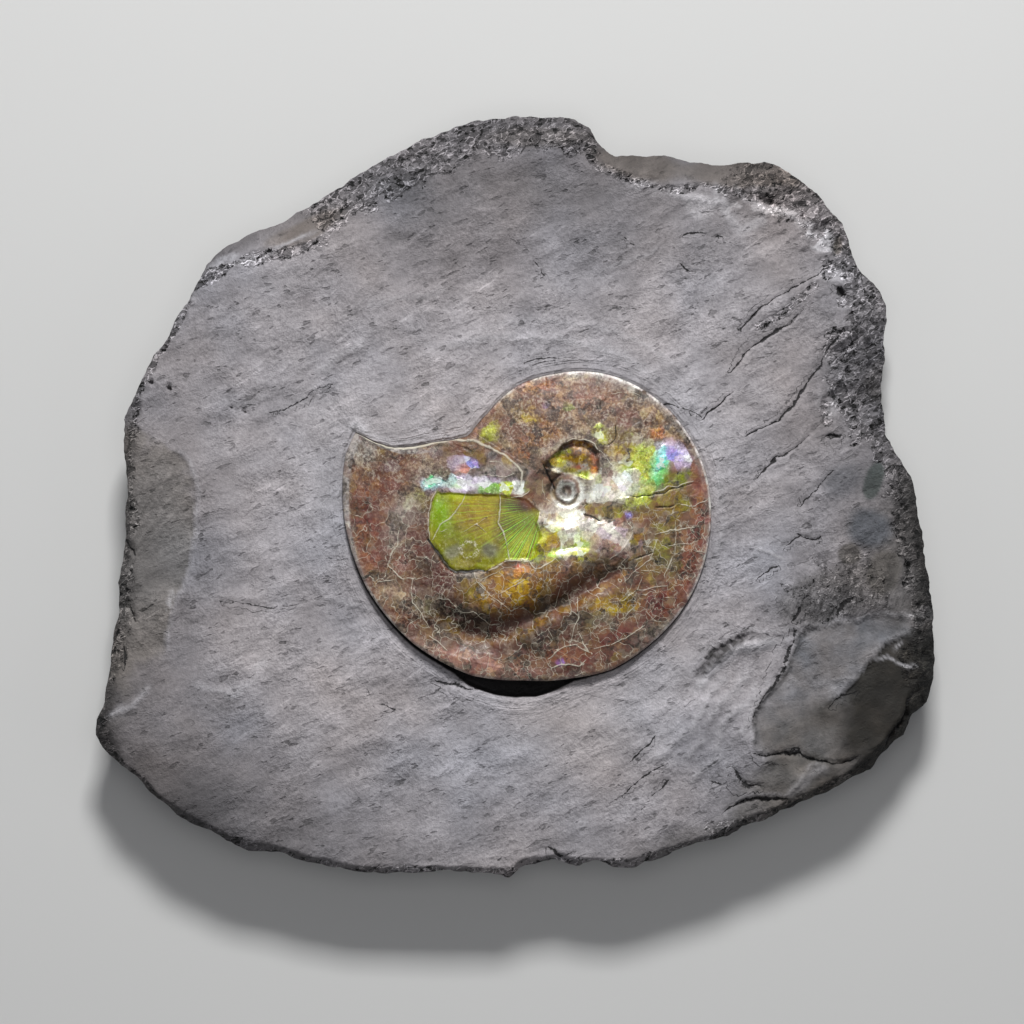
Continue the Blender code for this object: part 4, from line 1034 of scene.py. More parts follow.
# Where each colour lies: centre, half lengths, turn in degrees, strength, softness.
PATCHES = [
    ("ash", (-119, 38), (11, 11), 0, 0.8, 0.5), ("umber", (-108, 19), (8, 5), -10, 0.9, 0.4),
    ("slate", (-100, 24), (7, 5), 0, 0.7, 0.5), ("wine", (-87, 29), (11, 6), -10, 0.75, 0.5),
    ("tan", (-67, 26), (15, 11), 0, 0.7, 0.6), ("slate", (-65, 37), (7, 6), 0, 0.7, 0.4),
    ("wine", (-124, -3), (10, 12), 0, 0.85, 0.5), ("wine", (-120, -16), (9, 12), 0, 0.85, 0.5),
    ("brick", (-102, 8), (16, 8), 5, 0.8, 0.5), ("oxblood", (-108, 2), (12, 6), 0, 0.6, 0.5),
    ("moss", (-77, -2), (11, 10), 30, 0.45, 0.7), ("ash", (-90, -13), (16, 12), 20, 0.7, 0.6),
    ("brown", (-78, 16), (10, 6), 0, 0.5, 0.6), ("moss", (-59, 17), (7, 3), 15, 0.8, 0.4),
    ("ash", (-30, 15), (44, 13), 0, 0.6, 0.5), ("lilac", (-36, 11), (36, 6), 0, 0.75, 0.45),
    ("leaf", (-14, 8), (20, 5), 0, 0.75, 0.45), ("cyan", (-64, 11), (8, 3), 10, 0.8, 0.5),
    ("cream", (78, 10), (30, 19), 10, 0.8, 0.45), ("lime", (98, 18), (16, 26), -10, 0.75, 0.4),
    ("emerald", (113, 22), (9, 19), -15, 0.85, 0.35), ("lilac", (127, 33), (16, 9), -20, 0.85, 0.4),
    ("moss", (130, 15), (16, 8), 5, 0.85, 0.35), ("cream", (38, -16), (30, 9), 0, 0.85, 0.45),
    ("lime", (34, -34), (26, 14), 0, 0.6, 0.6), ("gold", (26, -42), (16, 9), 0, 0.6, 0.5),
    ("moss", (118, -8), (32, 8), 3, 0.7, 0.4), ("khaki", (120, -38), (24, 26), 10, 0.6, 0.5),
    ("emerald", (-66, 12), (5, 3), 10, 0.95, 0.4), ("white_glare", (-56, 11), (5, 3), 0, 0.95, 0.4),
    ("leaf", (-45, 10), (5, 3), 0, 0.85, 0.4), ("lilac", (-36, 11), (9, 6), 0, 0.9, 0.4),
    ("white_glare", (-24, 12), (7, 4), -10, 0.8, 0.5), ("leaf", (-15, 9), (7, 4), 0, 0.9, 0.4),
    ("lime", (-8, 6), (5, 4), 0, 0.95, 0.4), ("white_glare", (3, 8), (4, 6), 0, 0.9, 0.4),
    ("lilac", (-47, 26), (7, 5), 0, 0.6, 0.5), ("violet", (-35, 27), (5, 3), 0, 0.7, 0.5),
    ("orange", (-42, 21), (6, 3), 5, 0.5, 0.6), ("olive", (-32, 34), (10, 5), -15, 0.85, 0.4),
    ("slate", (-19, 32), (5, 3), -20, 0.8, 0.4), ("olive", (-9, 29), (6, 4), -30, 0.75, 0.5),
    ("ash", (-13, 22), (12, 5), -10, 0.7, 0.5), ("rust", (5, 89), (9, 6), 20, 0.85, 0.4),
    ("rust", (-15, 71), (7, 2), 35, 0.85, 0.4), ("tan", (-9, 77), (14, 5), 30, 0.55, 0.6),
    ("gold", (9, 66), (7, 8), 0, 0.6, 0.5), ("lime", (-21, 53), (7, 5), 30, 0.7, 0.5),
    ("moss", (-19, 46), (9, 4), 0, 0.75, 0.4), ("rose", (-31, 53), (4, 6), -30, 0.6, 0.5),
    ("brown", (-5, 58), (12, 10), 0, 0.5, 0.6), ("tan", (-5, 41), (12, 4), -25, 0.6, 0.5),
    ("rust", (9, 33), (5, 3), 0, 0.6, 0.5), ("rust", (17, 90), (16, 8), 10, 0.85, 0.4),
    ("orange", (24, 90), (7, 4), 0, 0.4, 0.6), ("tan", (46, 92), (11, 6), 0, 0.7, 0.5),
    ("brick", (39, 78), (20, 12), -10, 0.8, 0.5), ("violet", (24, 72), (3, 3), 0, 0.35, 0.6),
    ("leaf", (43, 70), (4, 4), 0, 0.45, 0.5), ("brick", (65, 73), (16, 11), -20, 0.8, 0.5),
    ("wine", (89, 65), (13, 11), -30, 0.65, 0.5), ("ash", (86, 90), (18, 5), -25, 0.75, 0.4),
    ("tan", (109, 71), (8, 6), -40, 0.5, 0.6), ("ochre", (113, 61), (10, 8), -40, 0.45, 0.6),
    ("orange", (114, 51), (5, 4), 0, 0.9, 0.5), ("brown", (131, 53), (10, 13), -50, 0.6, 0.6),
    ("gold", (12, 63), (13, 6), -20, 0.75, 0.5), ("rust", (25, 59), (5, 4), 0, 0.5, 0.5),
    ("rust", (21, 47), (20, 6), 10, 0.5, 0.6), ("ash", (37, 43), (22, 5), 25, 0.5, 0.6),
    ("moss", (76, 47), (6, 8), 0, 0.6, 0.4), ("moss", (87, 48), (8, 7), -10, 0.65, 0.4),
    ("lime", (67, 49), (6, 8), 0, 0.9, 0.3), ("sulphur", (69, 48), (3, 3), 0, 0.7, 0.5),
    ("ash", (103, 43), (11, 5), -15, 0.6, 0.5), ("gold", (83, 35), (13, 6), 0, 0.6, 0.5),
    ("ash", (73, 26), (8, 10), -45, 0.6, 0.5), ("moss", (72, 24), (4, 4), 0, 0.5, 0.5),
    ("lime", (90, 23), (6, 4), 0, 0.85, 0.5), ("cream", (75, 8), (10, 6), 20, 0.85, 0.5),
    ("white_glare", (91, 11), (9, 9), 0, 0.95, 0.5), ("white_glare", (82, 5), (8, 4), -10, 0.9, 0.5),
    ("cyan", (91, 16), (4, 2.5), 0, 0.9, 0.4), ("lime", (103, 29), (8, 13), -15, 0.95, 0.3),
    ("lime", (108, 20), (9, 16), -10, 0.9, 0.3), ("emerald", (113, 18), (6, 17), -8, 0.6, 0.4),
    ("cyan", (116, 30), (3, 11), -12, 0.9, 0.35), ("lime", (105, 8), (8, 5), 10, 0.85, 0.35),
    ("lilac", (128, 35), (14, 8), -22, 0.97, 0.3), ("violet", (126, 33), (8, 3.5), -15, 0.75, 0.5),
    ("white_glare", (137, 30), (5, 3), -40, 0.7, 0.5), ("cyan", (119, 37), (3, 5), -20, 0.6, 0.5),
    ("moss", (130, 13), (13, 6), 8, 0.9, 0.3), ("rose", (126, 23), (6, 2.5), -10, 0.5, 0.5),
    ("rose", (143, 24), (6, 8), 0, 0.6, 0.5), ("olive", (125, 1), (18, 6), 8, 0.95, 0.3),
    ("olive", (133, -9), (10, 5), 0, 0.7, 0.5), ("brick", (148, -6), (7, 32), 0, 0.9, 0.3),
    ("lime", (96, -3), (8, 4), -5, 0.9, 0.4), ("ochre", (118, -16), (20, 8), 0, 0.4, 0.6),
    ("moss", (113, -23), (5, 5), 0, 0.6, 0.5), ("oxblood", (145, -28), (13, 6), 0, 0.7, 0.4),
    ("olive", (71, -12), (16, 6), -5, 0.95, 0.25), ("violet", (90, -15), (3, 3), 0, 0.7, 0.5),
    ("ash", (30, -10), (12, 3), 15, 0.7, 0.5), ("slate", (46, -26), (4, 6), 0, 0.5, 0.5),
    ("lime", (52, -29), (5, 6), 0, 0.85, 0.4), ("tan", (22, 5), (6, 10), -20, 0.7, 0.5),
    ("cream", (38, -6), (8, 3), 0, 0.9, 0.5), ("white_glare", (62, 3), (7, 7), 0, 0.75, 0.6),
    ("brick", (-116, -40), (13, 16), 0, 0.8, 0.5), ("oxblood", (-118, -33), (6, 6), 0, 0.6, 0.5),
    ("oxblood", (-108, -53), (6, 6), 0, 0.5, 0.5), ("ash", (-100, -33), (8, 11), 10, 0.75, 0.5),
    ("mauve", (-86, -35), (8, 10), 0, 0.7, 0.5), ("oxblood", (-73, -43), (6, 7), 0, 0.75, 0.5),
    ("rose", (-91, -55), (6, 7), 0, 0.7, 0.4), ("tan", (-96, -76), (12, 10), -40, 0.65, 0.5),
    ("slate", (-78, -75), (5, 4), 0, 0.5, 0.5), ("khaki", (-71, -85), (10, 12), -30, 0.85, 0.35),
    ("brick", (-86, -98), (9, 6), -30, 0.65, 0.5), ("wine", (-57, -68), (9, 11), -40, 0.85, 0.4),
    ("umber", (-48, -82), (6, 5), 0, 0.6, 0.6), ("ochre", (-11, -79), (32, 19), -10, 0.85, 0.4),
    ("gold", (5, -73), (10, 12), 0, 0.5, 0.6), ("orange", (5, -59), (7, 4), 0, 0.6, 0.5),
    ("olive", (-38, -73), (9, 9), -40, 0.75, 0.5), ("ash", (-36, -63), (10, 4), 0, 0.7, 0.5),
    ("rose", (-29, -131), (48, 9), -15, 0.6, 0.5), ("umber", (-26, -106), (38, 16), -12, 0.97, 0.5),
    ("oxblood", (-41, -98), (8, 8), -20, 0.75, 0.5), ("rust", (-12, -122), (9, 4), 0, 0.4, 0.6),
    ("leaf", (12, -34), (12, 16), 35, 0.8, 0.5), ("cream", (33, -20), (13, 4), 0, 0.7, 0.5),
    ("gold", (27, -40), (10, 10), 0, 0.75, 0.5), ("sulphur", (19, -35), (4, 6), 0, 0.6, 0.5),
    ("orange", (30, -42), (5, 4), 0, 0.5, 0.6), ("lime", (52, -34), (8, 15), 8, 0.9, 0.35),
    ("white_glare", (44, -28), (3, 9), 10, 0.7, 0.4), ("lilac", (41, -45), (5, 15), -5, 0.6, 0.5),
    ("lilac", (62, -37), (6, 11), 0, 0.6, 0.5), ("rose", (79, -34), (14, 15), 0, 0.8, 0.3),
    ("orange", (77, -36), (5, 6), 0, 0.55, 0.5), ("brick", (97, -32), (5, 10), -10, 0.85, 0.4),
    ("olive", (113, -44), (17, 22), 0, 0.6, 0.6), ("moss", (114, -24), (6, 5), 0, 0.5, 0.5),
    ("moss", (117, -45), (7, 10), 0, 0.55, 0.5), ("brick", (143, -54), (13, 35), -15, 0.85, 0.3),
    ("oxblood", (133, -31), (12, 6), 0, 0.5, 0.5), ("olive", (79, -78), (13, 6), 0, 0.6, 0.5),
    ("gold", (73, -87), (24, 6), 5, 0.8, 0.5), ("khaki", (67, -98), (11, 7), 0, 0.75, 0.5),
    ("oxblood", (119, -84), (16, 11), 15, 0.92, 0.3), ("umber", (46, -76), (34, 7), 31, 0.85, 0.6),
    ("brown", (14, -113), (18, 9), 15, 0.6, 0.6), ("oxblood", (77, -112), (11, 6), 10, 0.9, 0.3),
    ("khaki", (49, -114), (10, 12), 0, 0.6, 0.6), ("oxblood", (10, -126), (15, 5), 10, 0.5, 0.6),
    ("brick", (43, -127), (18, 6), 0, 0.85, 0.4), ("ash", (103, -110), (15, 6), 28, 0.8, 0.4),
    ("violet", (37, -132), (3, 2), 0, 0.5, 0.5), ("shadow_black", (41, -139), (15, 4), -3, 0.92, 0.25),
    ("oxblood", (-112, -22), (13, 26), 8, 0.55, 0.5), ("oxblood", (-62, -62), (14, 22), 32, 0.6, 0.5),
    ("umber", (-4, -112), (46, 9), 6, 0.7, 0.6), ("oxblood", (26, -104), (22, 7), 24, 0.5, 0.5),
    ("umber", (-44, -92), (20, 12), -38, 0.7, 0.6), ("wine", (62, -128), (34, 5), 16, 0.6, 0.5),
    ("white_glare", (-40, 11), (24, 4), 2, 0.55, 0.6), ("cyan", (-58, 12), (10, 3), 4, 0.5, 0.6),
    ("lilac", (-30, 12), (9, 4), 0, 0.6, 0.5), ("cream", (60, -26), (22, 8), -8, 0.5, 0.6),
    ("cream", (74, -36), (15, 13), 20, 0.35, 0.6), ("lime", (58, -38), (6, 12), 6, 0.6, 0.5),
    ("cream", (84, 8), (14, 8), 10, 0.7, 0.5), ("white_glare", (92, 13), (8, 7), 0, 0.7, 0.5),
    ("gold", (-8, -76), (34, 12), 12, 0.25, 0.6), ("ochre", (22, -66), (30, 10), 20, 0.45, 0.6),
    ("umber", (-26, -112), (34, 12), -8, 0.75, 0.5), ("wine", (116, -84), (18, 10), 20, 0.7, 0.4),
    ("wine", (88, -112), (20, 8), 25, 0.6, 0.5), ("cyan", (114, 26), (5, 12), -12, 0.4, 0.6),
    ("tan", (48, 72), (92, 36), -6, 0.25, 0.6), ("khaki", (84, -4), (16, 3), 6, 0.6, 0.5),
    ("khaki", (74, 18), (9, 3), -30, 0.6, 0.5), ("brown", (58, -14), (8, 3), -20, 0.6, 0.5),
    ("brown", (26, -18), (5, 3), 30, 0.6, 0.5), ("umber", (50, 8), (4, 8), 20, 0.5, 0.6),
    ("rose", (80, -38), (12, 9), 20, 0.5, 0.6), ("lime", (46, -42), (12, 7), 10, 0.5, 0.6),
    ("gold", (62, -30), (8, 6), 0, 0.4, 0.6), ("leaf", (30, -46), (8, 4), 0, 0.5, 0.6)]

# The shell is crazed into plates, and each keeps much the same colour from edge to edge, as its points take
# their colour from a place nearer to the plate's middle.
PLATE_COUNT, PLATE_PULL = 1900, 0.55
rng = np.random.default_rng(12)
plate_middles = rng.uniform((-150, -160), (170, 112), (PLATE_COUNT, 2))
plate = nearest_site(plate_middles, shell_places + shell_wobble)
mosaic_places = shell_places + PLATE_PULL * (plate_middles[plate] - shell_places)

tint = np.tile(NACRE["brown"], (len(shell_places), 1))
wander_1, wander_2 = (drift(shell_places, 11, seed, 5) for seed in (51.0, 52.0))


def lay_patches(colours, places, patches, edge_wander, mixing=0.0):
    """Lays patches of nacre, whose edges wander; mixing turns each one's wander away from the last one's."""
    for number, (name, centre, half_sizes, patch_turn, strength, softness) in enumerate(patches):
        own_wander = np.cos(mixing * number) * edge_wander[0] + np.sin(mixing * number) * edge_wander[1]
        oval = inside(places, centre, half_sizes, patch_turn, softness, own_wander)
        paint_over(colours, NACRE[name], strength * oval)


lay_patches(tint, mosaic_places, PATCHES, (0.26 * wander_1, 0.26 * wander_2), 2.4)
tint *= rng.uniform(0.84, 1.17, len(plate_middles))[plate, None]


def plate_tint(names):
    """A colour for each point, picked at random for its whole plate."""
    choices = np.array([NACRE[name] for name in names])
    return choices[rng.integers(0, len(names), len(plate_middles))][plate]


earthen = 0.16 * (1 - smooth((tint.max(axis=1) - 0.2) / 0.2))
paint_over(tint, plate_tint(["oxblood", "olive", "khaki", "umber", "brick", "brown"]), earthen)
pearly = np.maximum(inside(mosaic_places, (60, -28), (40, 14), -8, 0.5, 0.3 * wander_1),
                    inside(mosaic_places, (82, 12), (24, 9), 10, 0.5, 0.3 * wander_2))
paint_over(tint, plate_tint(["cream", "tan", "lilac", "lime", "rose", "khaki", "white_glare", "gold"]),
           0.42 * pearly)

# The green patch is one smooth sheet of nacre, whole but for its cracks.
SHEET_PATCHES = [
    ("gold", (-28, -14), (20, 16), 0, 0.75, 0.7), ("olive", (-44, -22), (18, 14), 0, 0.4, 0.7),
    ("leaf", (-60, -14), (9, 16), 10, 0.45, 0.7), ("moss", (-52, -36), (12, 12), -20, 0.5, 0.7),
    ("olive", (-38, -50), (16, 9), 0, 0.5, 0.6), ("slate", (-50, -44), (8, 5), 20, 0.55, 0.5),
    ("slate", (-20, -43), (7, 6), -10, 0.65, 0.5), ("moss", (0, -20), (13, 16), 0, 0.6, 0.6),
    ("olive", (-12, -30), (6, 16), 10, 0.5, 0.6), ("lime", (5, -40), (12, 11), 20, 0.9, 0.6),
    ("sulphur", (11, -45), (6, 6), 0, 0.6, 0.7), ("oxblood", (8, -5), (17, 6), -8, 0.95, 0.5),
    ("umber", (-2, -8), (12, 4), -12, 0.7, 0.6), ("lime", (-48, 0), (10, 3), 0, 0.5, 0.6)]
in_green = smooth(green_depth / 1.2 + 0.5)
sheet = np.tile(NACRE["meadow"], (len(shell_places), 1))
lay_patches(sheet, shell_places, SHEET_PATCHES, (0.25 * wander_1, wander_2))
paint_over(tint, sheet, in_green)
bullseye = np.hypot(*(shell_places - (-37, -42)).T) + 1.5 * wander_1

# The window looks through to an inner whorl: painted dark as shade under its upper edge, gold and white
# below.
WINDOW_PATCHES = [
    ("wine", (50, 38), (12, 6), 0, 0.7, 0.5), ("ochre", (53, 39), (6, 5), 0, 0.8, 0.5),
    ("moss", (37, 32), (9, 5), 30, 0.6, 0.5), ("brick", (63, 29), (4, 9), 0, 0.85, 0.5),
    ("gold", (45, 28), (14, 5), 0, 0.7, 0.5), ("cream", (42, 21), (15, 5), 0, 0.95, 0.4),
    ("sulphur", (33, 27), (5, 3), 0, 0.9, 0.5), ("orange", (50, 23), (5, 2.4), 0, 0.8, 0.5),
    ("sulphur", (46, 21), (6, 2.6), 0, 0.95, 0.5), ("lime", (54, 17), (8, 3.6), 0, 0.9, 0.5),
    ("cream", (63, 15), (4, 4), 0, 0.8, 0.5), ("orange", (63, 22), (2.6, 2.6), 0, 0.9, 0.5)]
in_window = smooth(window_depth / 1.5 + 0.3)
inner = np.tile(NACRE["umber"], (len(shell_places), 1))
lay_patches(inner, shell_places, WINDOW_PATCHES, (0.6 * wander_2, wander_1))
paint_over(tint, inner * 1.4, in_window)

# The umbilicus: a ragged pale ring about a dark eye, below a dark gap that the shell's wall overhangs. The
# gap and the eye's pit are painted dark as shade, and the wall and the ring are painted lighter at the lower
# right, where they catch the light.
lit_lower_right = smooth(0.5 + 0.6 * np.cos(np.radians(from_eye + 40)))
eye_reach = reach + 1.6 * wander_1
paint_over(tint, NACRE["tan"], 0.7 * inside(shell_places, UMBILICUS, (18, 16), 0, 0.25, 0.3 * wander_1))
paint_over(tint, NACRE["umber"] * 0.5, 0.95 * band(eye_reach, 13.5, 2.6) * upper_left)
paint_over(tint, NACRE["white_glare"], 0.85 * band(eye_reach, 13, 2.0) * lit_lower_right * (0.7 + wander_2))
paint_over(tint, NACRE["ash"] * 0.8, 0.9 * (1 - smooth((eye_reach - 8.5) / 2)))
paint_over(tint, NACRE["umber"], 0.6 * band(eye_reach, 9.8, 1.0))
ring_white = np.clip(0.8 + 0.8 * wander_2, 0, 1) * band(eye_reach, 6.4, 1.5)
paint_over(tint, NACRE["white_glare"], ring_white * (0.45 + 0.5 * lit_lower_right))
paint_over(tint, NACRE["shadow_black"], 0.9 * band(reach, 2.4, 1.3))
paint_over(tint, NACRE["ash"], 0.8 * band(reach, 0, 1.0))

# Painted shade along the fold's shaded foot and in the hollow that it runs out into, and a painted highlight
# of ochre on its lit lip.
HOLLOW = [(-70, -42), (-67, -62), (-57, -83), (-40, -100), (-10, -114), (26, -108), (50, -94)]
hollow_side = beside_line(shell_places + 2 * shell_wobble, HOLLOW)[0]
tint *= (1 - 0.62 * band(hollow_side, 0, 13) * (1 - in_green))[:, None]
painted_shade_reach = np.where(fold_side > 0, from_table([(0, 7), (0.5, 9), (1, 14)], fold_along), 1.2)
painted_fold_shade = band(fold_side, 0, painted_shade_reach)
paint_over(tint, NACRE["umber"] * 0.35, 0.93 * fold_taper * painted_fold_shade)
paint_over(tint, NACRE["ochre"], 0.35 * fold_taper * band(fold_side, -6, 4))

# The edge: a pale line along the top, right and lower right, painted as a highlight where the rounded edge
# catches the light, and a grey side wall at the left.
EDGE_HIGHLIGHT_COLOUR, EDGE_WALL_COLOUR = linear(232, 226, 222), linear(146, 141, 139)
edge_highlight = from_table([(8, 0), (20, 0.3), (50, 0.8), (66, 1.0), (135, 1.0), (150, 0.6), (168, 0.6),
                        (204, 0.6), (215, 0.2), (250, 0.25), (300, 0.3), (330, 0.5), (345, 0)], coil)
edge_highlight *= np.clip(0.9 + 1.1 * wander_2, 0.15, 1)
paint_over(tint, NACRE["ash"], 0.6 * edge_highlight * (1 - smooth((to_edge - 4) / 3)))
line_share = band(np.clip(to_edge, 1.0, None), 1.0, 0.9)
paint_over(tint, EDGE_HIGHLIGHT_COLOUR, 0.95 * edge_highlight * line_share)
side_width = from_table([(280, 0), (300, 2.5), (316, 4.5), (343, 8.5), (345, 8.5), (345.5, 0)], coil)
paint_over(tint, EDGE_WALL_COLOUR, 0.85 * smooth((side_width - to_edge) / 1.2) * (side_width > 0))

flash = np.maximum(smooth((tint.max(axis=1) - 0.30) / 0.25), smooth((tint[:, 1] - tint[:, 0]) * 9))
flash = np.maximum(flash, 0.5 * in_green)
crackle = np.clip(1 - 0.95 * in_green - 0.6 * in_window, 0, 1) * (0.5 + 0.5 * smooth((reach - 26) / 50))
crackle *= 0.25 + 0.75 * smooth((10 - shell_places[:, 1] + 10 * wander_1) / 30)
crackle = np.maximum(crackle, 0.8 * pearly)
speckle = np.maximum(inside(shell_places, (-92, 22), (44, 28), -8, 0.5),
                     inside(shell_places, (50, 66), (84, 44), -4, 0.5) * smooth(shell_places[:, 1] / 30))
speckle = np.maximum(speckle, 0.5 * inside(shell_places, (-90, -70), (60, 60), 0, 0.6))
rays_mask = np.maximum(inside(shell_places, (3, -27), (16, 27), 10, 0.3),
                       0.35 * inside(shell_places, (-30, -20), (22, 18), 0, 0.5)) * in_green
rays_mask *= 1 - inside(shell_places, (14, -6), (14, 8), -8, 0.5)


def with_underside(values, below):
    """Values for the dome's points, followed by one value for each point of the wall and underside."""
    extra = len(shell_mesh.vertices) - len(values)
    return np.concatenate([values, np.tile(below, (extra, 1) if values.ndim == 2 else extra)])


give(shell_mesh, "tint", np.column_stack([with_underside(tint, linear(96, 82, 72)),
                                          np.ones(len(shell_mesh.vertices))]))
for name, values, below in [
        ("flash", flash, 0.0), ("crackle", crackle, 0.4), ("speckle", speckle, 0.0), ("rays", rays_mask, 0.0),
        ("vein_off", vein_off, 9.0), ("gap_off", gap_off, 9.0), ("sheet", in_green, 0.0),
        ("bullseye", np.clip(bullseye, 0, 20), 20.0), ("foot", np.zeros(len(shell_places)), 1.0)]:
    give(shell_mesh, name, with_underside(values, below))


def coat(name, level=1.0):
    """One of the nacre's colours for a shader, made lighter or darker."""
    return (*NACRE[name] * level, 1)


ammolite, principled, from_above = new_finish("ammolite")
# Down the wall the patterns lean outwards, so that they don't run down it as stripes.
lean = from_above.node("ShaderNodeVectorMath", {"operation": "SCALE"}, {
    0: (0.006, 0.017, 0), "Scale": from_above.stored("foot")})
spot = from_above.vector("ADD", lean)
crackle, flash, smooth_sheet = spot.stored("crackle"), spot.stored("flash"), spot.stored("sheet")
patchy = spot.noisy(26, 3, 0.55)
shimmer = spot.noisy(8, 4, 0.6)
fleck = spot.noisy(2.2, 4, 0.75)
rusty = spot.noisy(10, 5, 0.65)

# Crazing: a wide net of cracks, with a finer net inside some of its plates.
wide_warp, fine_warp = spot.warped(9, 3.0), spot.warped(4, 1.3)
wide_net = 1 - wide_warp.cells(13, "DISTANCE_TO_EDGE").between(0.004, 0.026)
wide_net = wide_net * shimmer.between(0.36, 0.50)
fine_net = 1 - fine_warp.cells(5.5, "DISTANCE_TO_EDGE").between(0.008, 0.055)
fine_net = fine_net * patchy.between(0.44, 0.60)
net = wide_net.maths("MAXIMUM", wide_net, fine_net * 0.7) * crackle
plate_shade = wide_warp.cells(13, output="Color").between(0.1, 0.9)
chip_shade = fine_warp.cells(5.5, output="Color").between(0.1, 0.9)
vein = 1 - (spot.stored("vein_off") + (fleck - 0.5) * 2.4).between(0.4, 1.6)
gap = 1 - (spot.stored("gap_off") + (fleck - 0.5) * 1.2).between(0.6, 1.5)

# Fine rays of the green patch, spread about a root near the umbilicus.
fine_rays = from_above.rays((0.023, -0.008, 0), -38.0, shimmer * 1.2, 0.7)
ray_mask = spot.stored("rays")

# Where the nacre flashes it is broken into small shards, each painted lighter or darker as if turned its own
# way to the light, and some painted with a white glint.
shards = spot.grain(1.4, 20).warped(5, 2.0).cells(5.2, output="Color")
shard_light, shard_hue, shard_glint = shards.part("X"), shards.part("Y"), shards.part("Z")
flashing = flash * (1 - smooth_sheet)

grainy = 1 - smooth_sheet * 0.55
mottled = (chip_shade - 0.5) * 0.7 + (plate_shade - 0.5) * 0.9 + (shimmer - 0.5) * 1.7 + (rusty - 0.5) * 2.4
lightness = 1 + grainy * ((fleck - 0.5) * 2.1 + mottled * (1 - flash * 0.7))
lightness = lightness + flashing * ((shard_light - 0.5) * 0.45 + 0.12)
colour = spot.node("ShaderNodeHueSaturation", {}, {
    "Hue": 0.5 + (shimmer - 0.5) * 0.05 + (chip_shade - 0.5) * grainy * 0.035
    + flashing * (shard_hue - 0.5) * 0.06, "Saturation": 1.15 - flashing * 0.15,
    "Value": lightness, "Color": spot.stored("tint", "Color")})
colour = (flashing * shard_glint.between(0.86, 0.90) * 0.6).blend(colour, coat("white_glare"))
earthy = grainy * (1 - flash * 0.95)
colour = (plate_shade.between(0.60, 0.66) * earthy * 0.45).blend(colour, coat("oxblood", 0.8))
colour = ((1 - chip_shade.between(0.24, 0.34)) * earthy * 0.15).blend(colour, coat("khaki"))
colour = (rusty.between(0.55, 0.66) * earthy * 0.45).blend(colour, coat("wine"))
colour = ((1 - rusty.between(0.34, 0.45)) * earthy * 0.35).blend(colour, coat("tan"))
speckle = spot.stored("speckle")
dusting = fleck + (rusty - 0.5) * 0.7
colour = (speckle * dusting.between(0.54, 0.68) * 0.38).blend(colour, coat("cream", 0.85))
colour = (speckle * (1 - dusting.between(0.32, 0.46)) * 0.6).blend(colour, coat("oxblood", 0.5))
colour = (ray_mask * (1 - fine_rays.between(0.40, 0.52)) * 0.85).blend(colour, coat("olive", 0.35))
colour = (ray_mask * fine_rays.between(0.56, 0.64) * 0.9).blend(colour, coat("leaf", 1.6))
# Painted highlights: small white glints where the nacre flashes.
painted_glints = flash * grainy * fleck.between(0.60, 0.68)
colour = (painted_glints * 0.45).blend(colour, coat("white_glare"))
ring = 1 - abs(spot.stored("bullseye") - 6.5).between(0.5, 2.4)
colour = (ring * fleck.between(0.48, 0.60) * 0.7).blend(colour, coat("cream"))
colour = (net * 0.72).blend(colour, coat("cream", 0.82))
colour = (vein * 0.65).blend(colour, coat("cream", 0.95))
colour = (gap * 0.92).blend(colour, coat("shadow_black"))

rough = 0.40 + fleck * 0.16 - flash * 0.1 + net * 0.2 + vein * 0.2
level = fleck * 0.45 * grainy + shimmer * 0.5 + plate_shade * crackle * 0.6 + vein * 0.5 - gap * 1.0
bumpy = level.node("ShaderNodeBump", {}, {"Strength": 0.6, "Distance": 0.0009, "Height": level})
plug(principled, Base_Color=colour, Normal=bumpy, Roughness=rough, Metallic=flash * 0.2,
     Coat_Weight=0.04 + flash * 0.5)
principled.inputs["Coat Roughness"].default_value = 0.14

ammonite = in_scene("ammonite", shell_mesh)
shell_mesh.shade_smooth()
shell_mesh.materials.append(ammolite)
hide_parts("ammonite_shell")
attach(ammonite, "root")

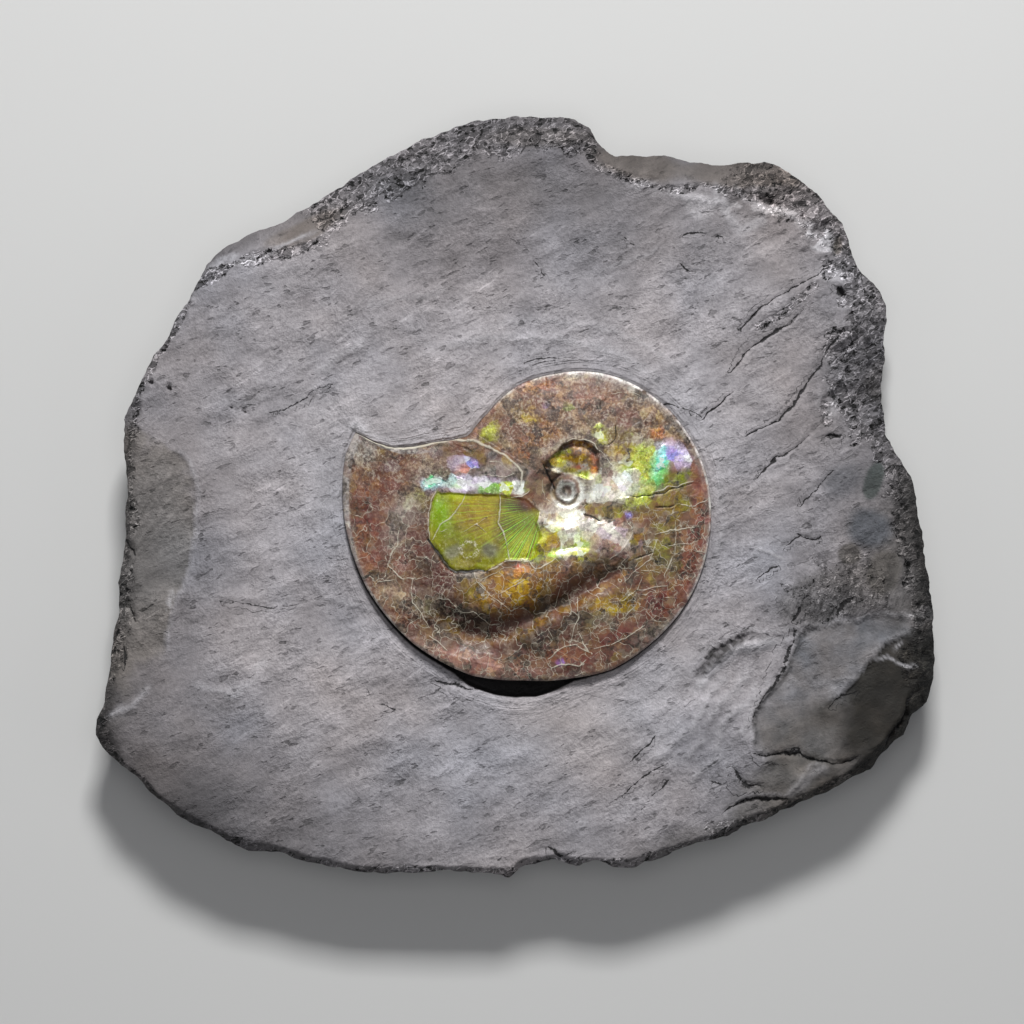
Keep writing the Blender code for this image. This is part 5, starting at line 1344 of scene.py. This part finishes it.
# The studio.
# A plain pale floor, a large soft lamp beyond the top of the slab that rakes over it as in the photograph,
# weaker soft light from above and the sides, and a camera that looks straight down.
floor_finish, principled, spot = new_finish("studio_floor")
principled.inputs["Base Color"].default_value = (0.6, 0.6, 0.59, 1)
principled.inputs["Roughness"].default_value = 0.9
floor_form = bmesh.new()
bmesh.ops.create_grid(floor_form, x_segments=1, y_segments=1, size=6)
floor_mesh = bpy.data.meshes.new("studio_floor")
floor_form.to_mesh(floor_mesh)
floor_form.free()
floor = in_scene("studio_floor", floor_mesh)
floor_mesh.materials.append(floor_finish)

# Place, aim, size and strength of each lamp.
LAMPS = [
    ("key", (0.15, 3.0, 2.4), (0, 0.02, 0.05), (1.0, 0.6), 171),
    ("top", (0, -0.05, 1.5), (0, -0.03, 0), (0.7, 0.7), 2.6),
    ("left", (-2.2, -0.8, 1.4), (0, 0, 0), (1.4, 1.4), 4.5),
    ("right", (2.2, -0.8, 1.4), (0, 0, 0), (1.4, 1.4), 4.5)]
for name, place, target, size, watts in LAMPS:
    lamp = bpy.data.lights.new(name, "AREA")
    lamp.shape, lamp.size, lamp.size_y, lamp.energy = "RECTANGLE", *size, watts
    lamp_object = in_scene(name, lamp)
    lamp_object.location = place
    lamp_object.rotation_euler = (Vector(target) - Vector(place)).to_track_quat("-Z", "Y").to_euler()

world = bpy.data.worlds.new("studio")
world.use_nodes = True
world.node_tree.nodes["Background"].inputs["Color"].default_value = (0.9, 0.92, 1.0, 1)
world.node_tree.nodes["Background"].inputs["Strength"].default_value = 0.13
bpy.context.scene.world = world
bpy.context.scene.view_settings.view_transform = "Standard"

# The picture is as wide as 0.8192 metres at the level of the slab's upper face.
CAMERA_PLACE, CAMERA_HEIGHT, FRAME_WIDTH, SENSOR_WIDTH = (-0.0027, -0.0124), 3.06, 0.8192, 36
camera_data = bpy.data.cameras.new("camera")
camera_data.sensor_width = SENSOR_WIDTH
camera_data.lens = SENSOR_WIDTH * (CAMERA_HEIGHT - SLAB_TOP * MM) / FRAME_WIDTH
camera = in_scene("camera", camera_data)
camera.location = (*CAMERA_PLACE, CAMERA_HEIGHT)
bpy.context.scene.camera = camera
